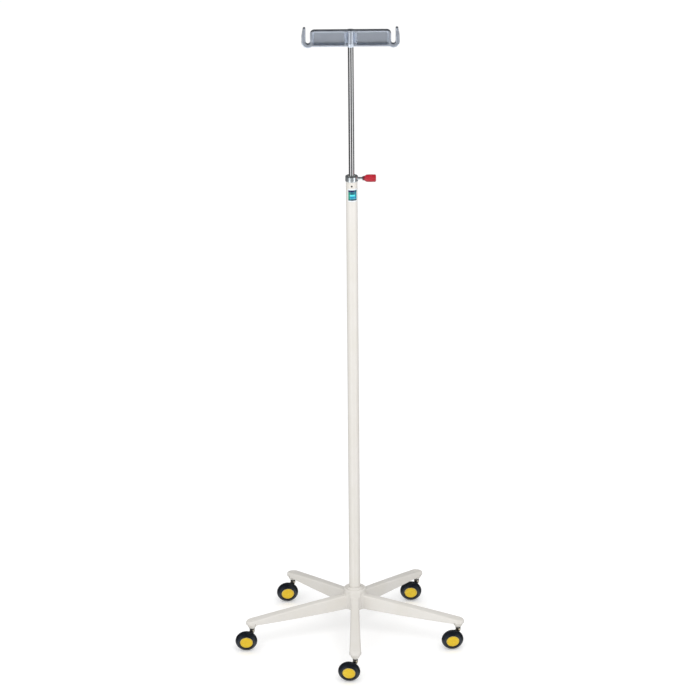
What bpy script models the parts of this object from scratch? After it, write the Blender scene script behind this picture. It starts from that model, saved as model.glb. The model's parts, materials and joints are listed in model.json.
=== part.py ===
"""Mobile infusion stand on a five-arm castor base, with a telescopic mast and a two-hook head.

Units are metres, +Z is up. The origin is the point on the floor below the mast's axis.
+X is the side of the clamp knob, and the first arm of the base points to -Y.
"""

import math

import bmesh
import bpy
from mathutils import Matrix, Vector

GAP = 0.0003  # clearance between neighbouring pieces

# Base casting
CASTOR_CIRCLE_R = 0.2476
ARM_ANGLES = [math.radians(a) for a in (-90, -18, 54, 126, 198)]
ARM_ROOT_R = 0.025
ARM_TOP_Z = (0.1049, 0.0902, 0.0736)  # root, middle, tip
ARM_BOTTOM_Z = (0.0719, 0.0660, 0.0633)
ARM_WIDTH = (0.0205, 0.0228, 0.0274)
ARM_DRAFT = 0.0010
ARM_EDGE_R = 0.0032
ARM_WALL = 0.0030
ARM_ROOF = 0.0035
ARM_END_R = 0.0180  # inside the hub, where each arm's own shape starts
TIP_DIMPLE_R = 0.0032
RIB = 0.0026
POCKET_ENDS = (0.0300, 0.2330)
POCKETS_PER_ARM = 3
HUB_R = 0.0250
HUB_TOP_Z = 0.1200
HUB_BOTTOM_Z = 0.0715
HUB_LIP_Z = 0.1232
HUB_FLOOR_Z = (0.0800, 0.0857)
HUB_GROOVE_R = 0.0026
HUB_GROOVE_TOP_Z = 0.1120
HUB_SKIRT_WALL = 0.0048
HUB_SEGMENTS = 32
BOLT_HOLE_R = 0.0046
BOLT_R = 0.0040
BOLT_HEAD_R = 0.0075
BOLT_HEAD_HIGH = 0.0050
BOLT_TOP_Z = 0.1000
WASHER_R = 0.0118
WASHER_THICK = 0.0018

# Mast
TUBE_R = 0.0127
TUBE_WALL = 0.0015
TUBE_BOTTOM_Z = HUB_FLOOR_Z[1] + GAP
ROD_R = 0.00635
ROD_WALL = 0.0012
COLLAR_R = 0.0142
COLLAR_Z = (1.0980, 1.1102)
COLLAR_SPIGOT_Z = 1.0740
COLLAR_BORE_R = 0.0082
LINER_BORE_R = ROD_R + GAP
TUBE_TOP_Z = COLLAR_Z[0] - GAP
COLLAR_PIN_Z = 1.0886
COLLAR_PIN_R = 0.0018
SLIDE_UP = 0.5000
MAST_SEGMENTS = 32

# Clamp screw and knob, along +X
CLAMP_Z = 1.1040
CLAMP_SCREW_R = 0.0030
CLAMP_PAD_END_X = 0.0100
KNOB_X = (0.0238, 0.0304, 0.0540)  # neck end, shoulder, outer end
KNOB_R = 0.0086
KNOB_NECK_R = 0.0047
KNOB_BORE_DEPTH = 0.0120
KNOB_FLUTES = 6
KNOB_FLUTE_R = 0.0022
KNOB_FLUTE_DEPTH = 0.0006

# Rod end, inside the tube
END_BUSH_LONG = 0.0200
END_BUSH_FLOOR = 0.0030
END_SLUG_LONG = 0.0150
END_HOLE_R = 0.0028
END_SCREW_R = 0.0024

# Label
LABEL_Z = (1.0530, 1.0830)
LABEL_THICK = 0.00025
LABEL_STEPS = (-5, 7)  # from the front, in steps of the mast's segments

# Hook head
HEAD_BOTTOM_Z = 1.4057
HEAD_TOP_Z = 1.4438
HEAD_THICK = 0.0100
HEAD_BAR_HALF = 0.0885
HEAD_CORNER_R = 0.0095
HEAD_EDGE = 0.0010
HOOK_CENTRE = (0.0934, 0.0118)  # from the mast's axis, and above the bar's bottom
HOOK_GAP_R = 0.0049
HOOK_OUTER_R = 0.0140
HOOK_OUTER_DROP = 0.0004  # the outer curve's centre is this far below the gap's
HOOK_BACK = (0.1071, 1.4300)
HOOK_TIP_R = 0.0029
HOOK_TIP = (0.1013, 1.4465)
PANEL_X = (0.0120, 0.0826)
PANEL_Z = (1.4108, 1.4396)
PANEL_FRONT_DEPTH = 0.0060
PANEL_BACK_DEPTH = 0.0015
PANEL_SLOPE = 0.0012
PANEL_CORNER_R = 0.0040
BOSS_R = 0.0088
BOSS_DROP = 0.0012
BOSS_BORE_TOP_Z = 1.4360
HEAD_SCREW_Z = 1.4200
HEAD_SCREW_R = 0.0020

# Castors
WHEEL_LEAN = math.radians(14)
TYRE_RING_R = 0.0150
TYRE_SECTION_R = 0.0100
TYRE_BORE_R = 0.0154
WHEEL_SEGMENTS = 24
WHEEL_OFFSET = (-0.0135, -0.0062)
WHEEL_Z = TYRE_RING_R * math.cos(WHEEL_LEAN) + TYRE_SECTION_R
CASTOR_YAWS = [math.radians(a) for a in (-5.0, 5.5, -1.0, 5.5, 1.5)]
AXLE_R = 0.0030
STEM_R = 0.0040
STEM_SHANK_R = 0.0029
SOCKET_R = 0.0068
SOCKET_TOP_Z = 0.0700
FLANGE_R = 0.0104
FLANGE_HIGH = 0.0034
BUSH_BOTTOM_Z = 0.0535
NECK_TOP_Z = 0.0509
NECK_BORE_Z = 0.0449
NECK_R = 0.0056
AXLE_BOSS_R = 0.0068
AXLE_BOSS = (-0.0152, -0.0107)  # along the wheel's axis
RIVET_SEAT_R = 0.0050
CORE_RECESS_R = 0.0082

PAINT = ("warm_white_paint", (0.83, 0.80, 0.76), 0.35, 0.0)
CHROME = ("chrome", (0.80, 0.81, 0.83), 0.10, 1.0)
STEEL = ("zinc_plated_steel", (0.60, 0.61, 0.63), 0.35, 1.0)
HEAD_METAL = ("satin_plated_alloy", (0.55, 0.58, 0.65), 0.30, 1.0)
NYLON = ("white_nylon", (0.80, 0.79, 0.75), 0.45, 0.0)
RED = ("red_plastic", (0.58, 0.012, 0.03), 0.35, 0.0)
YELLOW = ("yellow_plastic", (0.83, 0.56, 0.012), 0.35, 0.0)
RUBBER = ("black_rubber", (0.018, 0.020, 0.028), 0.55, 0.0)
BLACK = ("black_nylon", (0.02, 0.02, 0.022), 0.45, 0.0)
LABEL = ("label_film", (0.03, 0.30, 0.42), 0.30, 0.0)


def clear_scene():
    for obj in list(bpy.data.objects):
        bpy.data.objects.remove(obj, do_unlink=True)


def new_collection(name):
    made = bpy.data.collections.new(name)
    bpy.context.scene.collection.children.link(made)
    return made


def place(name, data, home, parent=None):
    """A new object in a collection, under a parent if one is given."""
    obj = bpy.data.objects.new(name, data)
    home.objects.link(obj)
    obj.parent = parent
    return obj


def paint(obj, finish):
    """Gives an object the Principled material of a finish, made once for all that share it."""
    name, colour, roughness, metallic = finish
    mat = bpy.data.materials.get(name)
    if mat is None:
        mat = bpy.data.materials.new(name)
        mat.use_nodes = True
        shader = mat.node_tree.nodes["Principled BSDF"]
        shader.inputs["Base Color"].default_value = (*colour, 1.0)
        shader.inputs["Roughness"].default_value = roughness
        shader.inputs["Metallic"].default_value = metallic
        mat.diffuse_color = (*colour, 1.0)
    obj.data.materials.clear()
    obj.data.materials.append(mat)
    return obj


def mesh_object(name, bm, home, parent=None):
    mesh = bpy.data.meshes.new(name)
    bm.to_mesh(mesh)
    bm.free()
    return place(name, mesh, home, parent)


def smooth(obj):
    obj.data.shade_smooth()
    obj.data.set_sharp_from_angle(angle=math.radians(32))
    return obj


def turned(name, profile, segments, home, parent=None, closed=False):
    """A shape turned about local Z from (radius, height) points, down its outer side."""
    mesh = bpy.data.meshes.new(name)
    last = len(profile) - 1
    edges = [(i, i + 1) for i in range(last)]
    if closed:
        edges.append((last, 0))
    mesh.from_pydata([(r, 0.0, z) for r, z in profile], edges, [])
    obj = place(name, mesh, home, parent)
    screw = obj.modifiers.new("turn", "SCREW")
    screw.axis = "Z"
    screw.angle = math.tau
    screw.steps = segments
    screw.render_steps = segments
    screw.use_merge_vertices = True
    screw.merge_threshold = 0.00001
    screw.use_smooth_shade = True
    return obj


def cylinder(name, radius, low, high, segments, home, parent=None):
    bm = bmesh.new()
    middle = Matrix.Translation((0.0, 0.0, (low + high) / 2))
    bmesh.ops.create_cone(
        bm, cap_ends=True, segments=segments, radius1=radius, radius2=radius, depth=high - low,
        matrix=middle,
    )
    return mesh_object(name, bm, home, parent)


def loft(name, rings, home, parent=None):
    """A closed solid skinned over rings that have the same number of points."""
    bm = bmesh.new()
    loops = [[bm.verts.new(point) for point in ring] for ring in rings]
    for near, far in zip(loops, loops[1:]):
        for i, vertex in enumerate(near):
            j = (i + 1) % len(near)
            bm.faces.new((vertex, near[j], far[j], far[i]))
    bm.faces.new(reversed(loops[0]))
    bm.faces.new(loops[-1])
    bmesh.ops.recalc_face_normals(bm, faces=bm.faces)
    return mesh_object(name, bm, home, parent)


def prism(name, outline, half_thick, edge, home):
    """A flat outline in X and Z, extruded along Y to both sides with its edges rounded."""
    data = bpy.data.curves.new(name, "CURVE")
    data.dimensions = "2D"
    data.fill_mode = "BOTH"
    data.extrude = half_thick - edge
    data.bevel_depth = edge
    data.bevel_resolution = 0
    data.offset = -edge
    spline = data.splines.new("POLY")
    spline.points.add(len(outline) - 1)
    for point, (x, z) in zip(spline.points, outline):
        point.co = (x, z, 0.0, 1.0)
    spline.use_cyclic_u = True
    guide = place(name + "_outline", data, home)
    graph = bpy.context.evaluated_depsgraph_get()
    mesh = bpy.data.meshes.new_from_object(guide.evaluated_get(graph))
    bpy.data.objects.remove(guide, do_unlink=True)
    mesh.transform(Matrix.Rotation(math.radians(90), 4, "X"))
    bm = bmesh.new()
    bm.from_mesh(mesh)
    bpy.data.meshes.remove(mesh)
    bmesh.ops.remove_doubles(bm, verts=bm.verts, dist=0.00001)
    bmesh.ops.recalc_face_normals(bm, faces=bm.faces)
    return mesh_object(name, bm, home)


def helper(obj):
    """Marks a cutter or a piece to be joined: it shapes other objects and isn't a part."""
    obj.hide_render = True
    obj.display_type = "WIRE"
    return obj


def combine(obj, other, operation):
    boolean = obj.modifiers.new(f"{operation.lower()}_{other.name}", "BOOLEAN")
    boolean.operation = operation
    boolean.solver = "EXACT"
    boolean.object = helper(other)


def cut(obj, other):
    combine(obj, other, "DIFFERENCE")


def join(obj, other):
    combine(obj, other, "UNION")


def arc(centre, radius, start, end, count):
    """Points on an arc between two angles in degrees."""
    angles = [math.radians(start + (end - start) * i / (count - 1)) for i in range(count)]
    return [(centre[0] + radius * math.cos(a), centre[1] + radius * math.sin(a)) for a in angles]


# ---- base ----------------------------------------------------------------------------------


def along_arm(r, values):
    """The value at radius r of the parabola through an arm's root, middle and tip values."""
    root, middle, tip = values
    t = (r - ARM_ROOT_R) / (CASTOR_CIRCLE_R - ARM_ROOT_R)
    return root * (1 - t) * (1 - 2 * t) + 4 * middle * t * (1 - t) + tip * t * (2 * t - 1)


def arm_section(r, half_width, drop=0.0):
    """An arm's outline across it: drafted sides and rounded top edges."""
    top = along_arm(r, ARM_TOP_Z) - drop
    bottom = along_arm(r, ARM_BOTTOM_Z)
    edge = min(ARM_EDGE_R, half_width * 0.6)
    shoulder = half_width - ARM_DRAFT * min(1.0, half_width / 0.008)
    right = [(half_width, bottom)] + arc((shoulder - edge, top - edge), edge, 0, 90, 4)
    left = [(-y, z) for y, z in reversed(right)]
    return [(r, y, z) for y, z in right + left]


def arm_solid(angle, home):
    """One arm from inside the hub to its round tip."""
    stations = [ARM_END_R, 0.050, 0.090, 0.130, 0.170, 0.210]
    rings = [arm_section(r, along_arm(r, ARM_WIDTH) / 2) for r in stations]
    tip_half = ARM_WIDTH[2] / 2
    for degrees in (0, 20, 40, 58, 74, 86):
        turn = math.radians(degrees)
        r = CASTOR_CIRCLE_R + tip_half * math.sin(turn)
        rings.append(arm_section(r, tip_half * math.cos(turn), 0.0012 * (1 - math.cos(turn))))
    arm = loft("arm_outer", rings, home)
    arm.rotation_euler.z = angle
    return arm


def arm_pocket(angle, near, far, home):
    """The hollow under an arm between two ribs, open at the bottom."""
    rings = []
    for r in (near, far):
        half = along_arm(r, ARM_WIDTH) / 2 - ARM_WALL
        roof = along_arm(r, ARM_TOP_Z) - ARM_ROOF
        low = HUB_BOTTOM_Z - 0.020
        corner = 0.0025
        upper = half - ARM_DRAFT
        ring = [(half, low), (upper, roof - corner), (upper - corner, roof)]
        ring += [(corner - upper, roof), (-upper, roof - corner), (-half, low)]
        rings.append([(r, y, z) for y, z in ring])
    pocket = loft("arm_pocket", rings, home)
    pocket.rotation_euler.z = angle
    return pocket


def arm_pockets(angle, home):
    start, end = POCKET_ENDS
    pitch = (end - start + RIB) / POCKETS_PER_ARM
    for i in range(POCKETS_PER_ARM):
        near = start + i * pitch
        yield arm_pocket(angle, near, near + pitch - RIB, home)


def hub_profile():
    """The hub's section: a rimmed top with a raised lip round the tube, and a floor for the bolt."""
    bore = TUBE_R + GAP
    return [
        (bore + 0.0008, HUB_LIP_Z), (bore + 0.0018, HUB_LIP_Z - 0.0004),
        (bore + 0.0036, HUB_TOP_Z - 0.0012), (HUB_R - 0.0042, HUB_TOP_Z - 0.0012),
        (HUB_R - 0.0030, HUB_TOP_Z), (HUB_R - 0.0010, HUB_TOP_Z),
        (HUB_R, HUB_TOP_Z - 0.0010), (HUB_R + 0.0006, HUB_BOTTOM_Z + 0.0010),
        (HUB_R - 0.0002, HUB_BOTTOM_Z), (HUB_R - HUB_SKIRT_WALL + 0.0008, HUB_BOTTOM_Z),
        (HUB_R - HUB_SKIRT_WALL, HUB_FLOOR_Z[0]), (BOLT_HOLE_R, HUB_FLOOR_Z[0]),
        (BOLT_HOLE_R, HUB_FLOOR_Z[1]), (bore, HUB_FLOOR_Z[1]), (bore, HUB_LIP_Z - 0.0006),
    ]


def socket_hole(angle, home):
    """The blind hole under an arm's tip that takes the nylon bush."""
    hole = cylinder("socket_hole", SOCKET_R, 0.050, SOCKET_TOP_Z, 16, home)
    hole.location = (CASTOR_CIRCLE_R * math.cos(angle), CASTOR_CIRCLE_R * math.sin(angle), 0.0)
    return hole


def tip_dimple(angle, home):
    """The shallow round mark on top of an arm's tip."""
    top = along_arm(CASTOR_CIRCLE_R, ARM_TOP_Z)
    dimple = cylinder("tip_dimple", TIP_DIMPLE_R, top - 0.0007, top + 0.006, 12, home)
    dimple.location = (CASTOR_CIRCLE_R * math.cos(angle), CASTOR_CIRCLE_R * math.sin(angle), 0.0)
    return dimple


def hub_groove(angle, home):
    """An upright groove in the hub's side, midway between two arms."""
    middle = angle + math.radians(36)
    groove = cylinder("hub_groove", HUB_GROOVE_R, 0.060, HUB_GROOVE_TOP_Z, 10, home)
    groove.location = ((HUB_R + 0.0008) * math.cos(middle), (HUB_R + 0.0008) * math.sin(middle), 0.0)
    return groove


def base_casting(parts, cutters):
    base = turned("base_casting", hub_profile(), HUB_SEGMENTS, parts, closed=True)
    for angle in ARM_ANGLES:
        join(base, arm_solid(angle, cutters))
    above = HUB_LIP_Z + 0.010
    cut(base, cylinder("tube_bore", TUBE_R + GAP, HUB_FLOOR_Z[1], above, HUB_SEGMENTS, cutters))
    for angle in ARM_ANGLES:
        for pocket in arm_pockets(angle, cutters):
            cut(base, pocket)
        cut(base, socket_hole(angle, cutters))
        cut(base, tip_dimple(angle, cutters))
        cut(base, hub_groove(angle, cutters))
    paint(base, PAINT)


def base_bolt(parts, cutters):
    """The hexagon bolt up through the hub's floor, and its washer."""
    washer_top = HUB_FLOOR_Z[0] - GAP
    washer_low = washer_top - WASHER_THICK
    hole = BOLT_R + 0.0004
    washer = [(WASHER_R, washer_top), (WASHER_R, washer_low), (hole, washer_low), (hole, washer_top)]
    paint(turned("base_washer", washer, 24, parts, closed=True), STEEL)
    head_top = washer_low - GAP
    bolt = cylinder("base_bolt", BOLT_HEAD_R, head_top - BOLT_HEAD_HIGH, head_top, 6, parts)
    join(bolt, cylinder("base_bolt_shank", BOLT_R, head_top - 0.0010, BOLT_TOP_Z, 16, cutters))
    paint(bolt, STEEL)


# ---- mast ----------------------------------------------------------------------------------


def outer_tube(parts, cutters):
    inner = TUBE_R - TUBE_WALL
    low, high = TUBE_BOTTOM_Z, TUBE_TOP_Z
    profile = [(TUBE_R, high), (TUBE_R, low), (inner, low), (inner, high)]
    tube = turned("outer_tube", profile, MAST_SEGMENTS, parts, closed=True)
    cut(tube, pin_hole("tube_pin_hole", cutters))
    paint(tube, PAINT)


def tube_plug(parts):
    """The threaded slug fixed in the foot of the outer tube, which the base bolt screws into."""
    outer = TUBE_R - TUBE_WALL - GAP
    low = TUBE_BOTTOM_Z + GAP
    high = low + 0.0240
    bore = BOLT_R + GAP
    profile = [(outer - 0.0006, high), (outer, high - 0.0006), (outer, low), (bore, low), (bore, high)]
    paint(turned("tube_plug", profile, 20, parts, closed=True), STEEL)


def pin_hole(name, cutters):
    hole = cylinder(name, COLLAR_PIN_R + GAP, 0.0095, 0.0200, 12, cutters)
    hole.rotation_euler.x = math.radians(90)
    hole.location.z = COLLAR_PIN_Z
    return hole


def clamp_hole(name, cutters):
    hole = cylinder(name, CLAMP_SCREW_R + GAP, 0.0050, 0.0200, 16, cutters)
    hole.rotation_euler.y = math.radians(90)
    hole.location.z = CLAMP_Z
    return hole


def collar(parts, cutters):
    """The chrome collar on the tube's top, with a spigot down inside the tube."""
    low, high = COLLAR_Z
    spigot = TUBE_R - TUBE_WALL - GAP
    profile = [
        (COLLAR_BORE_R, high), (COLLAR_R - 0.0014, high), (COLLAR_R, high - 0.0014),
        (COLLAR_R, low + 0.0006), (COLLAR_R - 0.0006, low), (spigot, low),
        (spigot, COLLAR_SPIGOT_Z), (COLLAR_BORE_R, COLLAR_SPIGOT_Z),
    ]
    ring = turned("collar", profile, MAST_SEGMENTS, parts, closed=True)
    cut(ring, pin_hole("collar_pin_hole", cutters))
    cut(ring, clamp_hole("collar_clamp_hole", cutters))
    paint(ring, CHROME)


def collar_pin(parts):
    """The grub screw through the tube wall that keeps the collar on."""
    profile = [(0.0, 0.0124), (0.0010, 0.0124), (0.0018, 0.0120), (0.0018, 0.0098), (0.0, 0.0098)]
    pin = turned("collar_pin", profile, 12, parts)
    pin.rotation_euler.x = math.radians(90)
    pin.location.z = COLLAR_PIN_Z
    paint(pin, STEEL)


def guide_bush(parts, cutters):
    """The nylon liner in the collar's bore, which the rod slides and turns in."""
    outer = COLLAR_BORE_R - GAP
    top = COLLAR_Z[1] - 0.0008
    low = COLLAR_SPIGOT_Z + 0.0006
    profile = [(outer, top), (outer, low), (LINER_BORE_R, low), (LINER_BORE_R, top)]
    bush = turned("guide_bush", profile, MAST_SEGMENTS, parts, closed=True)
    cut(bush, clamp_hole("bush_clamp_hole", cutters))
    paint(bush, NYLON)


def clamp(parts, cutters):
    """The thumb screw: a pad that presses on the rod, the screw, and the red knob on it."""
    axis = place("clamp_axis", None, parts)
    axis.location = (0.0, 0.0, CLAMP_Z)
    axis.rotation_euler.y = math.radians(90)
    pad_low = ROD_R + GAP
    pad_r = CLAMP_SCREW_R - 0.0001
    profile = [(0.0, CLAMP_PAD_END_X), (pad_r, CLAMP_PAD_END_X), (pad_r, pad_low + 0.0004)]
    profile += [(pad_r - 0.0004, pad_low), (0.0, pad_low)]
    paint(turned("clamp_pad", profile, 16, parts, axis), NYLON)
    paint(clamp_screw(parts, axis), CHROME)
    paint(clamp_knob(parts, cutters, axis), RED)


def clamp_screw(parts, axis):
    low = CLAMP_PAD_END_X + GAP
    high = KNOB_X[1] + KNOB_BORE_DEPTH
    r = CLAMP_SCREW_R
    profile = [
        (0.0, high), (r - 0.0005, high), (r, high - 0.0005),
        (r, low + 0.0005), (r - 0.0005, low), (0.0, low),
    ]
    return turned("clamp_screw", profile, 16, parts, axis)


def clamp_knob(parts, cutters, axis):
    """A fluted barrel with a tapered neck and a blind bore for the screw."""
    neck, shoulder, end = KNOB_X
    bore = CLAMP_SCREW_R + GAP
    bore_end = shoulder + KNOB_BORE_DEPTH + GAP
    profile = [
        (0.0, end), (KNOB_R - 0.0026, end), (KNOB_R - 0.0009, end - 0.0009),
        (KNOB_R - 0.0002, end - 0.0028), (KNOB_R, (shoulder + end) / 2),
        (KNOB_R - 0.0003, shoulder + 0.0028), (KNOB_R - 0.0014, shoulder),
        (KNOB_NECK_R + 0.0003, neck + 0.0046), (KNOB_NECK_R, neck), (bore, neck),
        (bore, bore_end), (0.0, bore_end),
    ]
    knob = turned("clamp_knob", profile, 24, parts, axis)
    reach = KNOB_R + KNOB_FLUTE_R - KNOB_FLUTE_DEPTH
    for i in range(KNOB_FLUTES):
        turn = math.tau * i / KNOB_FLUTES
        flute = cylinder("knob_flute", KNOB_FLUTE_R, shoulder - 0.004, end + 0.004, 8, cutters, axis)
        flute.location = (reach * math.cos(turn), reach * math.sin(turn), 0.0)
        cut(knob, flute)
    return knob


def end_bush_z():
    """The end bush's underside and top: it meets the collar's spigot with the rod fully out."""
    top = COLLAR_SPIGOT_Z - SLIDE_UP - GAP
    return top - END_BUSH_LONG, top


def inner_rod(parts):
    low = end_bush_z()[0] + END_BUSH_FLOOR + GAP
    top = BOSS_BORE_TOP_Z - GAP
    inner = ROD_R - ROD_WALL
    profile = [
        (inner, top), (ROD_R - 0.0004, top), (ROD_R, top - 0.0004), (ROD_R, low), (inner, low),
    ]
    paint(turned("inner_rod", profile, 28, parts, closed=True), CHROME)


def rod_end_bush(parts):
    """The nylon bush on the rod's foot that slides in the tube."""
    low, top = end_bush_z()
    outer = TUBE_R - TUBE_WALL - GAP
    socket = ROD_R + GAP
    profile = [
        (socket, top), (outer - 0.0008, top), (outer, top - 0.0008), (outer, low + 0.0008),
        (outer - 0.0008, low), (END_HOLE_R, low), (END_HOLE_R, low + END_BUSH_FLOOR),
        (socket, low + END_BUSH_FLOOR),
    ]
    paint(turned("rod_end_bush", profile, 20, parts, closed=True), NYLON)


def rod_end_slug(parts):
    """The threaded slug fixed in the rod's foot."""
    outer = ROD_R - ROD_WALL - GAP
    low = end_bush_z()[0] + END_BUSH_FLOOR + GAP + 0.0002
    high = low + END_SLUG_LONG
    profile = [(outer, high), (outer, low), (END_HOLE_R, low), (END_HOLE_R, high)]
    paint(turned("rod_end_slug", profile, 20, parts, closed=True), STEEL)


def rod_end_screw(parts):
    """The pan head screw that keeps the bush on the rod."""
    head_top = end_bush_z()[0] - GAP
    tip = head_top + END_BUSH_FLOOR + 0.0120
    profile = [
        (0.0, tip), (END_SCREW_R, tip), (END_SCREW_R, head_top), (0.0048, head_top),
        (0.0048, head_top - 0.0018), (0.0030, head_top - 0.0030), (0.0, head_top - 0.0030),
    ]
    paint(turned("rod_end_screw", profile, 16, parts), STEEL)


def label(parts):
    """A thin film label wrapped round the tube's front."""
    inner = TUBE_R + 0.00012
    outer = inner + LABEL_THICK
    step = math.tau / MAST_SEGMENTS
    first, last = LABEL_STEPS
    turns = [math.radians(-90) + step * i for i in range(first, last + 1)]
    near = [(inner * math.cos(a), inner * math.sin(a)) for a in turns]
    far = [(outer * math.cos(a), outer * math.sin(a)) for a in reversed(turns)]
    rings = [[(x, y, z) for x, y in near + far] for z in LABEL_Z]
    paint(loft("label", rings, parts), LABEL)


# ---- head ----------------------------------------------------------------------------------


def head_outline():
    """The head's front outline: a bar with round upper corners and an upturned hook at each end."""
    hook = (HOOK_CENTRE[0], HEAD_BOTTOM_Z + HOOK_CENTRE[1])
    outer = (hook[0], hook[1] - HOOK_OUTER_DROP)
    meet = math.degrees(math.asin((HEAD_BOTTOM_Z - outer[1]) / HOOK_OUTER_R))
    corner = (HEAD_BAR_HALF - HEAD_CORNER_R, HEAD_TOP_Z - HEAD_CORNER_R)
    right = [(0.0, HEAD_BOTTOM_Z)]
    right += arc(outer, HOOK_OUTER_R, -180 - meet, 0, 12)
    right += [HOOK_BACK]
    right += arc(HOOK_TIP, HOOK_TIP_R, 10, 180, 6)
    right += arc(hook, HOOK_GAP_R, 0, -180, 9)
    right += arc(corner, HEAD_CORNER_R, 0, 90, 7)
    left = [(-x, z) for x, z in reversed(right) if x > 0]
    return right + left


def panel_cutter(side, front, cutters):
    """The sunk panel on one side of the boss, with sloping walls."""
    face = -HEAD_THICK / 2 if front else HEAD_THICK / 2
    depth = PANEL_FRONT_DEPTH if front else PANEL_BACK_DEPTH
    out = -1 if front else 1
    rings = []
    for reach, inset in ((0.004, -0.0006), (-depth, PANEL_SLOPE)):
        x0, x1 = PANEL_X[0] + inset, PANEL_X[1] - inset
        z0, z1 = PANEL_Z[0] + inset, PANEL_Z[1] - inset
        r = PANEL_CORNER_R - inset
        ring = arc((x1 - r, z0 + r), r, -90, 0, 4) + arc((x1 - r, z1 - r), r, 0, 90, 4)
        ring += arc((x0 + r, z1 - r), r, 90, 180, 4) + arc((x0 + r, z0 + r), r, 180, 270, 4)
        rings.append([(side * x, face + out * reach, z) for x, z in ring])
    return loft("head_panel", rings, cutters)


def hook_head(parts, cutters):
    head = prism("hook_head", head_outline(), HEAD_THICK / 2, HEAD_EDGE, parts)
    for side in (-1, 1):
        for front in (True, False):
            cut(head, panel_cutter(side, front, cutters))
    low = HEAD_BOTTOM_Z - BOSS_DROP
    high = HEAD_TOP_Z - 0.0004
    profile = [
        (0.0, high), (BOSS_R - 0.0010, high), (BOSS_R, high - 0.0010),
        (BOSS_R, low + 0.0012), (BOSS_R - 0.0008, low), (0.0, low),
    ]
    join(head, turned("head_boss", profile, 24, cutters))
    cut(head, cylinder("head_bore", ROD_R + GAP, low - 0.01, BOSS_BORE_TOP_Z, 24, cutters))
    screw_hole = cylinder("head_screw_hole", HEAD_SCREW_R + GAP, 0.0040, 0.0120, 12, cutters)
    screw_hole.rotation_euler.x = math.radians(-90)
    screw_hole.location.z = HEAD_SCREW_Z
    cut(head, screw_hole)
    paint(head, HEAD_METAL)


def head_screw(parts):
    """The socket set screw that locks the head on the rod, from behind."""
    near = ROD_R + GAP
    far = BOSS_R - 0.0002
    socket = 0.0010
    r = HEAD_SCREW_R
    profile = [
        (0.0, far - 0.0008), (socket, far - 0.0008), (socket, far), (r - 0.0003, far),
        (r, far - 0.0003), (r, near), (0.0, near),
    ]
    screw = turned("head_set_screw", profile, 12, parts)
    screw.rotation_euler.x = math.radians(-90)
    screw.location.z = HEAD_SCREW_Z
    paint(screw, STEEL)


# ---- castors -------------------------------------------------------------------------------


def socket_bush(tag, parts, pivot):
    """The white nylon bush in an arm's tip, with a tapered skirt below it."""
    flange_top = ARM_BOTTOM_Z[2] - GAP
    bore = STEM_R + GAP
    sleeve = SOCKET_R - GAP
    profile = [
        (bore, SOCKET_TOP_Z - GAP), (sleeve, SOCKET_TOP_Z - GAP), (sleeve, flange_top),
        (FLANGE_R, flange_top), (FLANGE_R, flange_top - FLANGE_HIGH),
        (0.0063, BUSH_BOTTOM_Z), (bore, BUSH_BOTTOM_Z),
    ]
    paint(turned(tag + "socket_bush", profile, 16, parts, pivot, closed=True), NYLON)


def stem(tag, parts, pivot):
    """The plated stem: a pin held in the bush and a shank that the horn turns on."""
    top = SOCKET_TOP_Z - 0.0012
    step = BUSH_BOTTOM_Z + 0.0002
    profile = [
        (0.0, top), (STEM_R - 0.0008, top), (STEM_R, top - 0.0008), (STEM_R, step),
        (STEM_SHANK_R, step), (STEM_SHANK_R, NECK_BORE_Z + GAP), (0.0, NECK_BORE_Z + GAP),
    ]
    paint(turned(tag + "stem", profile, 12, parts, pivot), STEEL)


def dust_ring(tag, parts, pivot):
    low = NECK_TOP_Z + GAP
    high = BUSH_BOTTOM_Z - GAP
    bore = STEM_SHANK_R + GAP
    profile = [(0.0060, high), (0.0060, low), (bore, low), (bore, high)]
    paint(turned(tag + "dust_ring", profile, 16, parts, pivot, closed=True), BLACK)


def horn_ring(centre, heading, lean, half_width, half_thick, count=12):
    """An ellipse across the horn: heading is its path's slant towards the wheel's centre."""
    wide = Vector((math.cos(heading), 0.0, -math.sin(heading)))
    thick = Vector((0.0, math.cos(lean), math.sin(lean)))
    ring = []
    for i in range(count):
        turn = math.tau * i / count
        across = wide * half_width * math.cos(turn)
        ring.append(Vector(centre) + across + thick * half_thick * math.sin(turn))
    return ring


def horn(tag, parts, cutters, pivot, hub):
    """The one-sided fork: a round neck under the arm that runs behind the wheel to the axle boss."""
    behind = Vector((0.0, math.cos(WHEEL_LEAN), math.sin(WHEEL_LEAN)))
    boss = Vector((*WHEEL_OFFSET, WHEEL_Z)) + behind * 0.0129
    lean = WHEEL_LEAN
    rings = [
        horn_ring((0.0, 0.0, NECK_TOP_Z), 0.0, 0.0, NECK_R, NECK_R),
        horn_ring((0.0, 0.0, 0.0466), 0.0, 0.0, NECK_R, NECK_R),
        horn_ring((-0.0006, 0.0024, 0.0430), math.radians(15), lean, 0.0056, 0.0042),
        horn_ring((-0.0032, 0.0062, 0.0380), math.radians(32), lean, 0.0056, 0.0029),
        horn_ring((-0.0080, 0.0070, 0.0325), math.radians(42), lean, 0.0058, 0.0023),
        horn_ring(boss, math.radians(45), lean, 0.0060, 0.0020),
    ]
    fork = loft(tag + "horn", rings, parts, pivot)
    shank_hole = STEM_SHANK_R + GAP
    back = AXLE_BOSS[0]
    join(fork, cylinder(tag + "axle_boss", AXLE_BOSS_R, back, AXLE_BOSS[1], 16, cutters, hub))
    cut(fork, cylinder(tag + "stem_bore", shank_hole, NECK_BORE_Z, 0.0550, 12, cutters, pivot))
    cut(fork, cylinder(tag + "axle_bore", AXLE_R + GAP, -0.0300, 0.0, 12, cutters, hub))
    cut(fork, cylinder(tag + "rivet_seat", RIVET_SEAT_R, -0.0300, back, 16, cutters, hub))
    paint(smooth(fork), STEEL)


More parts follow.
